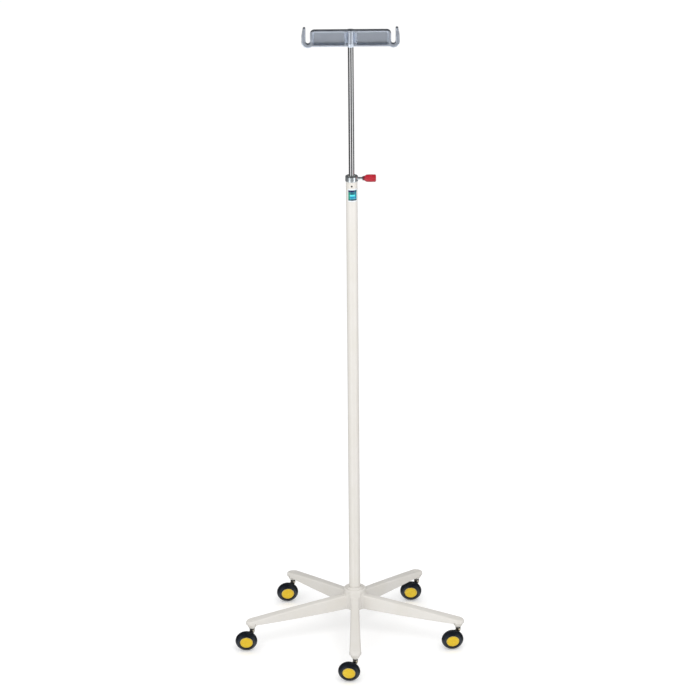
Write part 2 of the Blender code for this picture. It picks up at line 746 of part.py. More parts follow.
def axle(tag, parts, hub):
    """The riveted axle: a head under the cap and a peened end behind the boss."""
    profile = [
        (0.0, 0.0046), (0.0048, 0.0042), (0.0054, 0.0032), (0.0054, 0.0023), (AXLE_R, 0.0023),
        (AXLE_R, -0.0155), (0.0044, -0.0155), (0.0040, -0.0164), (0.0, -0.0166),
    ]
    paint(turned(tag + "axle", profile, 12, parts, hub), STEEL)


def wheel_core(tag, parts, hub):
    """The wheel's nylon centre, with a recess in front for the axle's head."""
    outer = TYRE_BORE_R - GAP
    bore = AXLE_R + GAP
    profile = [
        (CORE_RECESS_R, 0.0068), (outer, 0.0068), (outer, -0.0092), (outer - 0.0008, -0.0100),
        (bore, -0.0100), (bore, 0.0020), (CORE_RECESS_R, 0.0020),
    ]
    paint(turned(tag + "wheel_core", profile, WHEEL_SEGMENTS, parts, hub, closed=True), BLACK)


def tyre(tag, parts, hub):
    """The rubber tyre, with a corner of its section where the leaning wheel meets the floor."""
    turns = [WHEEL_LEAN + math.radians(23.3 * i) for i in range(3, -5, -1)]
    outside = [
        (TYRE_RING_R + TYRE_SECTION_R * math.cos(a), TYRE_SECTION_R * math.sin(a)) for a in turns
    ]
    inside = [(TYRE_BORE_R, -0.0092), (TYRE_BORE_R, 0.0092)]
    paint(turned(tag + "tyre", outside + inside, WHEEL_SEGMENTS, parts, hub, closed=True), RUBBER)


def hub_cap(tag, parts, hub):
    """The yellow cap: a shallow dome with a bevelled rim and a spigot that snaps into the core."""
    rim = TYRE_BORE_R - 0.0004
    spigot = CORE_RECESS_R - 0.0004
    profile = [
        (0.0, 0.0094), (rim - 0.0016, 0.0086), (rim, 0.0074), (rim, 0.0071), (spigot, 0.0071),
        (spigot, 0.0052), (0.0, 0.0052),
    ]
    paint(turned(tag + "cap", profile, WHEEL_SEGMENTS, parts, hub), YELLOW)


def castor(number, angle, yaw, parts, cutters):
    """One swivel castor. Its pieces hang from an empty on the stem's axis and one on the axle."""
    tag = f"castor_{number}_"
    pivot = place(tag + "swivel_axis", None, parts)
    pivot.location = (CASTOR_CIRCLE_R * math.cos(angle), CASTOR_CIRCLE_R * math.sin(angle), 0.0)
    pivot.rotation_euler.z = yaw
    hub = place(tag + "wheel_axis", None, parts, pivot)
    hub.location = (*WHEEL_OFFSET, WHEEL_Z)
    hub.rotation_euler.x = math.radians(90) + WHEEL_LEAN
    socket_bush(tag, parts, pivot)
    stem(tag, parts, pivot)
    dust_ring(tag, parts, pivot)
    horn(tag, parts, cutters, pivot, hub)
    axle(tag, parts, hub)
    wheel_core(tag, parts, hub)
    tyre(tag, parts, hub)
    hub_cap(tag, parts, hub)


def build():
    clear_scene()
    parts = new_collection("infusion_stand")
    cutters = new_collection("cutters")
    base_casting(parts, cutters)
    base_bolt(parts, cutters)
    outer_tube(parts, cutters)
    tube_plug(parts)
    collar(parts, cutters)
    collar_pin(parts)
    guide_bush(parts, cutters)
    clamp(parts, cutters)
    inner_rod(parts)
    rod_end_bush(parts)
    rod_end_slug(parts)
    rod_end_screw(parts)
    label(parts)
    hook_head(parts, cutters)
    head_screw(parts)
    for number, (angle, yaw) in enumerate(zip(ARM_ANGLES, CASTOR_YAWS), start=1):
        castor(number, angle, yaw, parts, cutters)


build()
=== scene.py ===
"""Looks of the mobile infusion stand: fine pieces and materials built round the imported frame."""

import json
import math

import bmesh
import bpy
from mathutils import Matrix, Vector


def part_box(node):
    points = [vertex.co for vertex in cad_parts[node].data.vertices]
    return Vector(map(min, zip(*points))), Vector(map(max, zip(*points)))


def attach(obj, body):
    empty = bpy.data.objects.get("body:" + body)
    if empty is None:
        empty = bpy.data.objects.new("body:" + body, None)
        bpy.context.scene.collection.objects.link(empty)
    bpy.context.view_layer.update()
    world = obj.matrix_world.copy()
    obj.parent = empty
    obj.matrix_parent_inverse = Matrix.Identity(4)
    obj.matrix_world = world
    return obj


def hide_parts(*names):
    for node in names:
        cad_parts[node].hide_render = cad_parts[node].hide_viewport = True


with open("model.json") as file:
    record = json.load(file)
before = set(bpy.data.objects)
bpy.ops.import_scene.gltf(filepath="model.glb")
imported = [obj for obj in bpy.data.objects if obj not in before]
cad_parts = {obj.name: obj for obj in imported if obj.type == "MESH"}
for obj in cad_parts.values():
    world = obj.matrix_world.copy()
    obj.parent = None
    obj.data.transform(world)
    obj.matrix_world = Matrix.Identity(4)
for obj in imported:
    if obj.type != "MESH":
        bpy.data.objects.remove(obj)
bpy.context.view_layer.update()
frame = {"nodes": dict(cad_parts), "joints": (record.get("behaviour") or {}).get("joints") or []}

GAP = 0.0003
nodes = frame["nodes"]
joints = {joint["name"]: joint for joint in frame["joints"]}
CASTORS = (1, 2, 3, 4, 5)


# ---- camera, lights and floor ----

CAMERA_BACK = 8.0
CAMERA_HIGH = 3.619
LOOK_AT_Z = 0.7
FOCAL = 194.9
CAMERA_PAN = math.radians(0.0447)
CAMERA_ROLL = math.radians(-0.44)
SENSOR_WIDE = 36.0
KEY_TURN = (math.radians(-24.0), math.radians(30.0))  # round from the camera's side, and up
KEY_SPREAD = math.radians(50.0)
KEY_POWER = 0.62
FILL_PLACE = (0.55, -1.6, 2.0)
FILL_SIZE = 1.2
FILL_POWER = 13.5
# azimuth, half width and softness in degrees, height of the top edge, brightness
STUDIO_BOXES = (
    (-35.0, 9.0, 5.0, 0.2, 1.6), (49.0, 9.0, 5.0, 0.2, 1.6), (80.0, 8.0, 6.0, 0.2, 0.16),
    (180.0, 26.0, 8.0, -0.05, 0.22), (-180.0, 26.0, 8.0, -0.05, 0.22),
)
BOX_FADE = 0.15
BACKDROP = 1.0
# changes with a direction's Z: start, end, brightness at the end and at the start
STUDIO_TURN = (0.15, -0.15, 0.12, 0.05)
FLOOR_GLOW = (-0.36, -0.66, 0.84)
FLOOR_FALL = (-0.74, -0.92, 0.55)
AMBIENT_TURN = (-0.1, 0.1, 0.93, 0.78)
AMBIENT_FALL = (0.45, 0.95, 0.22)
FLOOR_R = 45.0
FLOOR_DROP = 0.0004
FLOOR_TONE = 0.96
FLOOR_LIFT = 0.14


def make_camera():
    data = bpy.data.cameras.new("camera")
    data.sensor_width = SENSOR_WIDE
    data.lens = FOCAL
    data.clip_end = 100.0
    camera = add("camera", data)
    down = math.atan2(CAMERA_HIGH - LOOK_AT_Z, CAMERA_BACK)
    camera.matrix_world = (
        Matrix.Translation((0.0, -CAMERA_BACK, CAMERA_HIGH))
        @ Matrix.Rotation(math.pi / 2 - down, 4, "X")
        @ Matrix.Rotation(CAMERA_PAN, 4, "Y")
        @ Matrix.Rotation(CAMERA_ROLL, 4, "Z")
    )
    bpy.context.scene.camera = camera


def make_light(name, kind, power, ahead):
    """A light that shines ahead and isn't seen in reflections."""
    light = add(name, bpy.data.lights.new(name, kind))
    light.data.energy = power
    light.rotation_euler = ahead.to_track_quat("-Z", "Y").to_euler()
    light.visible_glossy = False
    return light


def make_lights():
    """A wide, soft key, and a box close to the mast's top, so the stand's foot is darker."""
    turn, rise = KEY_TURN
    across = math.cos(rise)
    source = Vector((math.sin(turn) * across, -math.cos(turn) * across, math.sin(rise)))
    key = make_light("key", "SUN", KEY_POWER, -source)
    key.data.angle = KEY_SPREAD
    fill = make_light("fill", "AREA", FILL_POWER, Vector((0.0, 0.0, 1.0)) - Vector(FILL_PLACE))
    fill.data.size = FILL_SIZE
    fill.location = FILL_PLACE
    fill.visible_camera = False


def make_world():
    """A pale backdrop, and for reflections a dim studio with upright soft boxes."""
    world = bpy.data.worlds.new("studio")
    bpy.context.scene.world = world
    world.use_nodes = True
    made = Graph(world.node_tree)
    made.tree.nodes.clear()
    direction = made.node("ShaderNodeTexCoord").outputs["Generated"]
    x, y, z = made.split(direction)
    round_z = made.math("ARCTAN2", x, made.times(y, -1.0))
    glow = made.ramp(z, *STUDIO_TURN)
    glow = made.math("ADD", glow, made.ramp(z, *FLOOR_GLOW))
    glow = made.math("SUBTRACT", glow, made.ramp(z, *FLOOR_FALL))
    for degrees, half_wide, soft, top, strength in STUDIO_BOXES:
        away = made.math("ABSOLUTE", made.math("SUBTRACT", round_z, math.radians(degrees)))
        outside, inside = math.radians(half_wide + soft), math.radians(half_wide - soft)
        shape = made.ramp(away, outside, inside, strength)
        below = made.ramp(z, top + BOX_FADE, top - BOX_FADE)
        glow = made.math("ADD", glow, made.times(shape, below))
    path = made.node("ShaderNodeLightPath")
    ambient = made.ramp(z, *AMBIENT_TURN)
    ambient = made.math("SUBTRACT", ambient, made.ramp(z, *AMBIENT_FALL))
    seen = made.mix_value(path.outputs["Is Glossy Ray"], ambient, glow)
    strength = made.mix_value(path.outputs["Is Camera Ray"], seen, BACKDROP)
    background = made.node("ShaderNodeBackground")
    background.inputs["Color"].default_value = (1.0, 1.0, 1.0, 1.0)
    made.put(background.inputs["Strength"], strength)
    made.put(made.node("ShaderNodeOutputWorld").inputs["Surface"], background.outputs[0])


def make_floor():
    mesh = bpy.data.meshes.new("floor")
    bm = bmesh.new()
    bmesh.ops.create_circle(bm, cap_ends=True, segments=96, radius=FLOOR_R)
    bm.to_mesh(mesh)
    bm.free()
    floor = add("floor", mesh)
    floor.location.z = -FLOOR_DROP
    plain = Finish(
        "pale_floor", Base_Color=(FLOOR_TONE, FLOOR_TONE, FLOOR_TONE, 1.0), Roughness=0.9,
        Specular_IOR_Level=0.0, Emission_Color=(1.0, 1.0, 1.0, 1.0), Emission_Strength=FLOOR_LIFT,
    )
    mesh.materials.append(plain.material)
    floor.visible_glossy = False
    floor.visible_diffuse = False


# ---- node graphs ----


class Graph:
    """Short calls for making shader nodes."""

    def __init__(self, tree):
        self.tree = tree

    def node(self, kind, **settings):
        made = self.tree.nodes.new(kind)
        for key, value in settings.items():
            setattr(made, key, value)
        return made

    def put(self, socket, value):
        if isinstance(value, bpy.types.NodeSocket):
            self.tree.links.new(value, socket)
        else:
            socket.default_value = value

    def math(self, operation, first, second=0.0):
        made = self.node("ShaderNodeMath", operation=operation)
        self.put(made.inputs[0], first)
        self.put(made.inputs[1], second)
        return made.outputs[0]

    def times(self, first, second):
        return self.math("MULTIPLY", first, second)

    def split(self, vector):
        made = self.node("ShaderNodeSeparateXYZ")
        self.put(made.inputs[0], vector)
        return made.outputs[:3]

    def ramp(self, value, low, high, top=1.0, bottom=0.0):
        """value taken smoothly from bottom at low to top at high."""
        made = self.node("ShaderNodeMapRange", interpolation_type="SMOOTHSTEP")
        for socket, given in zip(made.inputs, (value, low, high, bottom, top)):
            self.put(socket, given)
        return made.outputs[0]

    def mix_value(self, factor, first, second):
        made = self.node("ShaderNodeMix", data_type="FLOAT")
        self.put(made.inputs[0], factor)
        self.put(made.inputs[2], first)
        self.put(made.inputs[3], second)
        return made.outputs[0]

    def mix_colour(self, factor, first, second):
        made = self.node("ShaderNodeMix", data_type="RGBA")
        self.put(made.inputs[0], factor)
        self.put(made.inputs[6], (*first, 1.0) if isinstance(first, tuple) else first)
        self.put(made.inputs[7], (*second, 1.0) if isinstance(second, tuple) else second)
        return made.outputs[2]

    def place(self, stretch=(1.0, 1.0, 1.0)):
        """Object coordinates in metres, stretched."""
        coords = self.node("ShaderNodeTexCoord").outputs["Object"]
        made = self.node("ShaderNodeMapping")
        self.put(made.inputs["Vector"], coords)
        made.inputs["Scale"].default_value = stretch
        return made.outputs[0]

    def radius(self):
        """Distance from a turned piece's own axis, in metres."""
        made = self.node("ShaderNodeUVMap", uv_map=TURNED)
        return self.split(made.outputs[0])[0]

    def noise(self, size, detail=2.0, stretch=(1.0, 1.0, 1.0)):
        """Noise with features of about the given size, in metres."""
        made = self.node("ShaderNodeTexNoise")
        self.put(made.inputs["Vector"], self.place(stretch))
        made.inputs["Scale"].default_value = 1.0 / size
        made.inputs["Detail"].default_value = detail
        return made.outputs["Fac"]

    def bump(self, height, depth, strength=1.0, under=None):
        made = self.node("ShaderNodeBump")
        self.put(made.inputs["Height"], height)
        made.inputs["Distance"].default_value = depth
        made.inputs["Strength"].default_value = strength
        if under is not None:
            self.put(made.inputs["Normal"], under)
        return made.outputs[0]


class Finish(Graph):
    """A Principled material and its node graph."""

    def __init__(self, name, **values):
        self.material = bpy.data.materials.new(name)
        self.material.use_nodes = True
        super().__init__(self.material.node_tree)
        self.shader = self.tree.nodes["Principled BSDF"]
        for key, value in values.items():
            self.shader.inputs[key.replace("_", " ")].default_value = value

    def set(self, name, value):
        self.put(self.shader.inputs[name], value)

    def gloss(self, size, detail, dull, shiny):
        """Roughness that drifts between two values."""
        self.set("Roughness", self.ramp(self.noise(size, detail), 0.3, 0.7, dull, shiny))

    def grain(self, size, detail, depth, strength, under=None):
        """A fine, uneven surface."""
        self.set("Normal", self.bump(self.noise(size, detail), depth, strength, under))

    def rings(self, pitch, depth, strength):
        """Fine turned rings over the grain."""
        wave = self.math("SINE", self.times(self.radius(), math.tau / pitch))
        self.set("Normal", self.bump(wave, depth, strength, self.given("Normal")))

    def given(self, name):
        """What the shader's socket is linked to so far."""
        return self.shader.inputs[name].links[0].from_socket


def mottled(made, tones, size):
    """A colour that drifts between two close ones."""
    return made.mix_colour(made.ramp(made.noise(size, 3.0), 0.35, 0.65), *tones)


# ---- materials ----

# the two close tones of each material, and what is laid over them
PAINT = (0.755, 0.73, 0.69), (0.738, 0.711, 0.66)
PAINT_SPECK = (0.63, 0.6, 0.545)
BASE_SHADE_TONE = 0.965  # painted shade: the base's paint is a darker copy of the tube's, standing in for less light on it
CHROME = (0.74, 0.75, 0.77), (0.8, 0.8, 0.81)
SATIN = (0.84, 0.91, 0.95), (0.9, 0.96, 1.0)
ZINC = (0.5, 0.52, 0.56), (0.62, 0.59, 0.5)
SPANGLE = (0.36, 0.37, 0.38)
YELLOW_ZINC = (0.5, 0.43, 0.3), (0.4, 0.39, 0.36)
ALLOY = (0.82, 0.89, 1.0), (0.8, 0.87, 0.985)
NYLON = (0.78, 0.76, 0.71), (0.72, 0.69, 0.63)
BLACK = (0.018, 0.018, 0.021), (0.028, 0.028, 0.031)
KNOB_RED = (0.47, 0.016, 0.034), (0.4, 0.01, 0.022)
# painted shade: the dark colour of the knob's neck
KNOB_NECK_SHADE = (0.07, 0.02, 0.03)
CAP_YELLOW = (0.8, 0.56, 0.012), (0.76, 0.49, 0.008)
# painted highlight: the pale colour of the cap's bevel
CAP_RIM_HIGHLIGHT = (0.88, 0.74, 0.3)
RUBBER = (0.005, 0.0064, 0.011), (0.008, 0.0094, 0.014)
RUBBER_DUST = (0.06, 0.062, 0.066)
LABEL = (0.8, 0.83, 0.86), (0.01, 0.235, 0.33)
LABEL_WORN = (0.62, 0.7, 0.74)
CAP_RING_PITCH = 0.0009
TYRE_RING_PITCH = 0.0007
LABEL_INK = (-36.0, 54.0)
LABEL_Z = (1.053, 1.083)
# low and high edge as shares of the label's height, start and end round the tube in degrees, ink
LABEL_BANDS = (
    (0.74, 0.88, -36.0, 30.0, (0.006, 0.01, 0.09)),
    (0.74, 0.88, 36.0, 54.0, (0.004, 0.05, 0.075)),
    (0.12, 0.74, -36.0, -18.0, (0.006, 0.3, 0.19)),
    (0.58, 0.7, -22.0, 30.0, (0.004, 0.12, 0.16)),
    (0.42, 0.55, -18.0, 34.0, (0.1, 0.78, 0.8)),
    (0.3, 0.42, -18.0, 40.0, (0.008, 0.26, 0.48)),
    (0.22, 0.27, -20.0, 54.0, (0.08, 0.48, 0.64)),
    (0.1, 0.2, -14.0, 54.0, (0.002, 0.04, 0.07)),
    (0.1, 0.2, -36.0, -18.0, (0.004, 0.09, 0.07)),
)


def surface(name, tones, patch, gloss, grain, **values):
    """Two close tones in patches, an uneven gloss and a fine grain."""
    made = Finish(name, **values)
    made.set("Base Color", mottled(made, tones, patch))
    made.gloss(*gloss)
    made.grain(*grain)
    return made


def powder_coat(name, tone):
    """Warm white powder coat: fine orange peel, a drift in tone and small, duller specks."""
    made = Finish(name, Coat_Weight=0.25, Coat_Roughness=0.12)
    base = mottled(made, [tuple(channel * tone for channel in paint) for paint in PAINT], 0.06)
    specks = made.ramp(made.noise(0.0022, 1.0), 0.7, 0.78, 0.22)
    made.set("Base Color", made.mix_colour(specks, base, PAINT_SPECK))
    made.gloss(0.012, 2.0, 0.44, 0.32)
    peel = made.bump(made.noise(0.003, 1.5), 0.00012, 0.5)
    made.grain(0.0006, 1.0, 0.00003, 0.3, peel)
    return made.material


def chrome_plate(name, tones, rough, solid=1.0):
    """Chrome with faint lengthwise polishing lines and smears."""
    made = Finish(name, Metallic=solid)
    made.set("Base Color", mottled(made, tones, 0.03))
    smears = made.noise(0.01, 3.0, (1.0, 1.0, 0.3))
    made.set("Roughness", made.ramp(smears, 0.35, 0.75, rough * 1.5, rough * 0.7))
    lines = made.noise(0.0005, 2.0, (1.0, 1.0, 0.02))
    made.set("Normal", made.bump(lines, 0.00001, 0.35))
    return made.material


def zinc_plate():
    """Zinc plated steel: a patchy blue and straw tint under a spangle."""
    haze, grain = (0.0025, 3.0, 0.42, 0.22), (0.0004, 2.0, 0.00002, 0.4)
    made = surface("zinc_plate", ZINC, 0.006, haze, grain, Metallic=1.0)
    spangle = made.ramp(made.noise(0.0011, 2.0), 0.45, 0.62, 0.3)
    made.set("Base Color", made.mix_colour(spangle, made.given("Base Color"), SPANGLE))
    return made.material


def satin_alloy():
    """Satin plating on a casting: a slight blue cast and very fine grain."""
    haze, grain = (0.009, 3.0, 0.46, 0.41), (0.0005, 2.0, 0.000005, 0.15)
    return surface("satin_alloy", ALLOY, 0.022, haze, grain, Metallic=1.0).material


def passivated():
    """Zinc plate passivated yellow: straw and olive patches."""
    haze, grain = (0.0025, 3.0, 0.4, 0.22), (0.0005, 2.0, 0.00002, 0.4)
    return surface("passivated_zinc", YELLOW_ZINC, 0.005, haze, grain, Metallic=1.0).material


def moulded(name, tones, rough, grain, depth, patch, coat=0.0, relief=0.5):
    """A moulded plastic, with a coat of lacquer if one is given."""
    gloss, fine = (patch * 0.5, 3.0, rough * 1.25, rough), (grain, 2.0, depth, relief)
    return surface(name, tones, patch, gloss, fine, Coat_Weight=coat, Coat_Roughness=0.1)


def knob_plastic(neck, shoulder):
    """Red plastic with painted shade: duller and darker on the neck between the two places along X.
    """
    made = moulded("knob_plastic", KNOB_RED, 0.28, 0.0007, 0.00002, 0.01, 0.2)
    along = made.split(made.place())[0]
    # painted shade: the neck, between the collar and the knob's shoulder, is darkened in colour
    # with a wavy edge
    shade_line = made.math("ADD", along, made.ramp(made.noise(0.003, 3.0), 0.3, 0.7, 0.0012))
    unshaded = made.ramp(shade_line, neck + 0.0016, shoulder + 0.001)
    made.set("Base Color", made.mix_colour(unshaded, KNOB_NECK_SHADE, made.given("Base Color")))
    return made.material


def cap_plastic():
    """Yellow cap: fine turned rings, and a painted highlight round the bevelled edge, paler in
    patches.
    """
    made = moulded("cap_plastic", CAP_YELLOW, 0.3, 0.0007, 0.00002, 0.008, relief=0.4)
    # painted highlight: the bevel round the cap's edge is paled in colour, broken up in patches
    rim = made.ramp(made.radius(), CAP_R - 0.0019, CAP_R - 0.0012)
    rim_highlight = made.times(rim, made.ramp(made.noise(0.002, 3.0), 0.3, 0.6, 0.75, 0.35))
    made.set("Base Color", made.mix_colour(rim_highlight, made.given("Base Color"), CAP_RIM_HIGHLIGHT))
    made.rings(CAP_RING_PITCH, 0.000006, 0.4)
    return made.material


def tyre_rubber():
    """Dark rubber, dusty where it rolls, with fine moulding rings on its sides."""
    gloss, grain = (0.004, 3.0, 0.46, 0.3), (0.0005, 2.0, 0.00003, 0.4)
    blue = (0.78, 0.9, 1.0, 1.0)
    made = surface("tyre_rubber", RUBBER, 0.006, gloss, grain, Specular_Tint=blue)
    tread = made.ramp(made.radius(), TYRE_OUT - 0.0028, TYRE_OUT - 0.0004)
    dust = made.times(tread, made.ramp(made.noise(0.0035, 4.0), 0.48, 0.74, 0.18))
    made.set("Base Color", made.mix_colour(dust, made.given("Base Color"), RUBBER_DUST))
    made.rings(TYRE_RING_PITCH, 0.000008, 0.5)
    return made.material


def label_film():
    """Printed film: a white edge round plain bands in navy, teal, blue and cyan."""
    made = Finish("label_film", Roughness=0.28, Coat_Weight=0.5, Coat_Roughness=0.08)
    x, y, z = made.split(made.place())
    turn = made.math("ARCTAN2", x, made.times(y, -1.0))
    high = made.math("DIVIDE", made.math("SUBTRACT", z, LABEL_Z[0]), LABEL_Z[1] - LABEL_Z[0])

    def band(value, low, top, edge):
        rise = made.ramp(value, low - edge, low + edge)
        return made.times(rise, made.ramp(value, top + edge, top - edge))

    def strip(low, top, start=LABEL_INK[0], end=LABEL_INK[1]):
        across = band(turn, math.radians(start), math.radians(end), 0.012)
        return made.times(across, band(high, low, top, 0.008))

    colour = made.mix_colour(strip(0.1, 0.9), *LABEL)
    for low, top, start, end, ink in LABEL_BANDS:
        colour = made.mix_colour(strip(low, top, start, end), colour, ink)
    wear = made.ramp(made.noise(0.0012, 3.0), 0.56, 0.76, 0.18)
    made.set("Base Color", made.mix_colour(wear, colour, LABEL_WORN))
    made.grain(0.0014, 2.0, 0.00003, 0.4)
    return made.material


# ---- mesh building ----

TURNED = "turned"  # the UV layer with each point's distance from the axis
SHARP = 38.0  # a corner of more degrees than this stays sharp
CAST_SHARP = 60.0


def add(name, data, matrix=None):
    """An object at the origin. Its place, if given, goes into a copy of its mesh."""
    if matrix is not None:
        data = data.copy()
        data.transform(matrix)
    obj = bpy.data.objects.new(name, data)
    bpy.context.scene.collection.objects.link(obj)
    return obj


def shade(mesh, angle=SHARP):
    mesh.shade_smooth()
    mesh.set_sharp_from_angle(angle=math.radians(angle))
    return mesh


def filleted(points, radius, steps, closed=False):
    """Points with their corners rounded. A point's third number is its own radius."""
    flat = [Vector(p[:2]) for p in points]
    count = len(flat)
    made = []
    for i, corner in enumerate(flat):
        wanted = points[i][2] if len(points[i]) > 2 else radius
        if wanted <= 0 or (not closed and i in (0, count - 1)):
            made.append(corner)
            continue
        back, ahead = flat[i - 1] - corner, flat[(i + 1) % count] - corner
        turn = back.angle(ahead)
        reach = min(wanted / math.tan(turn / 2), 0.48 * back.length, 0.48 * ahead.length)
        r = reach * math.tan(turn / 2)
        if turn > math.radians(176) or r < 1e-6:
            made.append(corner)
            continue
        to_back, to_ahead = back.normalized(), ahead.normalized()
        centre = corner + (to_back + to_ahead).normalized() * (r / math.sin(turn / 2))
        first = corner + to_back * reach - centre
        last = corner + to_ahead * reach - centre
        whole = first.angle_signed(last)
        for k in range(steps + 1):
            made.append(centre + Matrix.Rotation(-whole * k / steps, 2) @ first)
    return [(p.x, p.y) for p in made]


def skin(bm, loops, closed_round=True):
    """Faces between neighbouring loops of vertices. A loop of one vertex is a pole."""
    for near, far in zip(loops, loops[1:]):
        size = max(len(near), len(far))
        for i in range(size if closed_round else size - 1):
            j = (i + 1) % size
            ring = [near[i % len(near)], near[j % len(near)], far[j % len(far)], far[i % len(far)]]
            ring = [v for k, v in enumerate(ring) if v not in ring[:k]]
            if len(ring) > 2:
                bm.faces.new(ring)


def finished(name, bm, angle=SHARP):
    """A mesh from a bmesh, with its faces pointing out and shaded smooth."""
    bmesh.ops.recalc_face_normals(bm, faces=bm.faces)
    mesh = bpy.data.meshes.new(name)
    bm.to_mesh(mesh)
    bm.free()
    return shade(mesh, angle)


def turned(name, profile, segments, closed=False, angle=SHARP):
    """A mesh turned about Z from (radius, height) points."""
    bm = bmesh.new()
    loops = []
    for r, z in profile:
        count = segments if r > 1e-6 else 1
        turns = [math.tau * i / segments for i in range(count)]
        loops.append([bm.verts.new((r * math.cos(a), r * math.sin(a), z)) for a in turns])
    if closed:
        loops.append(loops[0])
    skin(bm, loops)
    layer = bm.loops.layers.uv.new(TURNED)
    for face in bm.faces:
        for corner in face.loops:
            corner[layer].uv = (math.hypot(corner.vert.co.x, corner.vert.co.y), corner.vert.co.z)
    return finished(name, bm, angle)


def lathe(name, profile, radius, steps, segments, closed=False, angle=SHARP):
    """A mesh turned from points whose corners are rounded first."""
    return turned(name, filleted(profile, radius, steps, closed), segments, closed, angle)


def plug(name, radius, start, end, segments=32):
    """A cylinder along Z to cut a hole with."""
    return turned(name, [(0.0, start), (radius, start), (radius, end), (0.0, end)], segments)


def sleeve(name, bore, outside, box, corners, segments):
    """A ring as high as the box. Its corners go inner and outer top, outer and inner foot."""
    low, high = box
    outline = zip((bore, outside, outside, bore), (high.z, high.z, low.z, low.z), corners)
    return lathe(name, list(outline), 0.0, 4, segments, closed=True)


def lofted(name, rings):
    """A closed mesh skinned over rings of points."""
    bm = bmesh.new()
    loops = [[bm.verts.new(p) for p in ring] for ring in rings]
    skin(bm, loops)
    bm.faces.new(loops[0])
    bm.faces.new(loops[-1])
    return finished(name, bm)


def spot(x, y, z, turn, axis="X"):
    """A place, and a turn about one of its axes."""
    return Matrix.Translation((x, y, z)) @ Matrix.Rotation(turn, 4, axis)


def applied(obj):
    """The object's mesh with its modifiers applied."""
    graph = bpy.context.evaluated_depsgraph_get()
    return bpy.data.meshes.new_from_object(obj.evaluated_get(graph))


def evaluated(obj):
    """The same, from an object that is then removed."""
    mesh = applied(obj)
    bpy.data.objects.remove(obj, do_unlink=True)
    return mesh


def cut(obj, mesh, operation="DIFFERENCE"):
    """obj's mesh cut by, or joined with, another mesh."""
    tool = add("tool", mesh)
    boolean = obj.modifiers.new("cut", "BOOLEAN")
    boolean.operation = operation
    boolean.solver = "EXACT"
    boolean.object = tool
    done = applied(obj)
    obj.modifiers.clear()
    obj.data = done
    bpy.data.objects.remove(tool, do_unlink=True)
    return obj


def cast(name, meshes, voxel, rounds, keep):
    """One skin round several closed meshes, softened as in a casting."""
    bm = bmesh.new()
    for mesh in meshes:
        bm.from_mesh(mesh)
    whole = bpy.data.meshes.new(name)
    bm.to_mesh(whole)
    bm.free()
    obj = add(name + "_rough", whole)
    remesh = obj.modifiers.new("skin", "REMESH")
    remesh.mode = "VOXEL"
    remesh.voxel_size = voxel
    soften = obj.modifiers.new("soften", "SMOOTH")
    soften.factor = 0.5
    soften.iterations = rounds
    thin = obj.modifiers.new("thin", "DECIMATE")
    thin.ratio = keep
    mesh = evaluated(obj)
    mesh.name = name
    return shade(mesh, CAST_SHARP)


def finish_piece(obj, body, finish, *stands_for):
    """Puts a piece on its body in place of the CAD nodes it stands for."""
    slot, material = finish
    obj.data.materials.clear()
    obj.data.materials.append(material)
    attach(obj, body)
    if stands_for:
        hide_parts(*stands_for)


def piece(name, mesh, body, finish, *stands_for, place=None):
    """A finished piece made straight from a mesh."""
    finish_piece(add(name, mesh, place), body, finish, *stands_for)


# ---- base ----

CASTOR_CIRCLE_R = math.hypot(*joints["castor_1_swivel"]["pos_m"][:2])
ARM_ROOT_R = 0.025
ARM_TOP_Z = (0.1049, 0.0902, 0.0736)
ARM_BOTTOM_Z = (0.0719, 0.066, 0.0633)
ARM_WIDTH = (0.0205, 0.0228, 0.0274)
ARM_EDGE_R = 0.0034
ARM_WALL = 0.003
ARM_ROOF = 0.0035
ARM_DRAFT = 0.001
RIB = 0.0026
POCKET_ENDS = (0.03, 0.233)
POCKETS_PER_ARM = 3
HUB_R = 0.025
HUB_TOP_Z = 0.12
HUB_BOTTOM_Z = 0.0715
HUB_LIP_Z = 0.1232
HUB_FLOOR_Z = (0.08, 0.0857)
SOCKET_R = 0.0068
SOCKET_TOP_Z = 0.07
ARM_STATIONS = [0.018 + 0.0128 * i for i in range(18)]
TIP_STEPS = 12
TIP_SWEEP = 88.0  # degrees of the round tip, to each side
TIP_DROOP = 0.0012
TIP_MARK_X = -0.002
TIP_PIN_X = -0.0042
TIP_PIN_Z = 0.0656
TIP_PIN_R = 0.0013
TIP_PIN_SUNK = 0.0006
BOLT_HOLE_R = 0.0046
BOLT_HEAD_R = 0.0075
WASHER_BORE_R = 0.0044
CUT_PAST = 0.02  # how far a cutter reaches past what it cuts
BASE_SKIN = (0.0009, 3, 0.3)  # voxel, rounds of smoothing, share of the faces kept
TUBE_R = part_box("outer_tube")[1].x


def along_arm(r, values):
    """The value at radius r, on a parabola through root, middle and tip values."""
    root, middle, tip = values
    t = (r - ARM_ROOT_R) / (CASTOR_CIRCLE_R - ARM_ROOT_R)
    return root * (1 - t) * (1 - 2 * t) + 4 * middle * t * (1 - t) + tip * t * (2 * t - 1)


def arm_ring(r, half_width, drop=0.0):
    """An arm's outline across it, with rounded top edges and small rounds below."""
    top = along_arm(r, ARM_TOP_Z) - drop
    bottom = along_arm(r, ARM_BOTTOM_Z)
    edge = min(ARM_EDGE_R, half_width * 0.6)
    shoulder = half_width - ARM_DRAFT * min(1.0, half_width / 0.008)
    return across_arm(r, [(half_width, bottom, 0.0008), (shoulder, top, edge)], 6)


def across_arm(r, right, steps):
    """An outline across an arm at radius r from its right half."""
    left = [(-y, z, e) for y, z, e in reversed(right)]
    return [(r, y, z) for y, z in filleted(right + left, 0.0, steps, closed=True)]


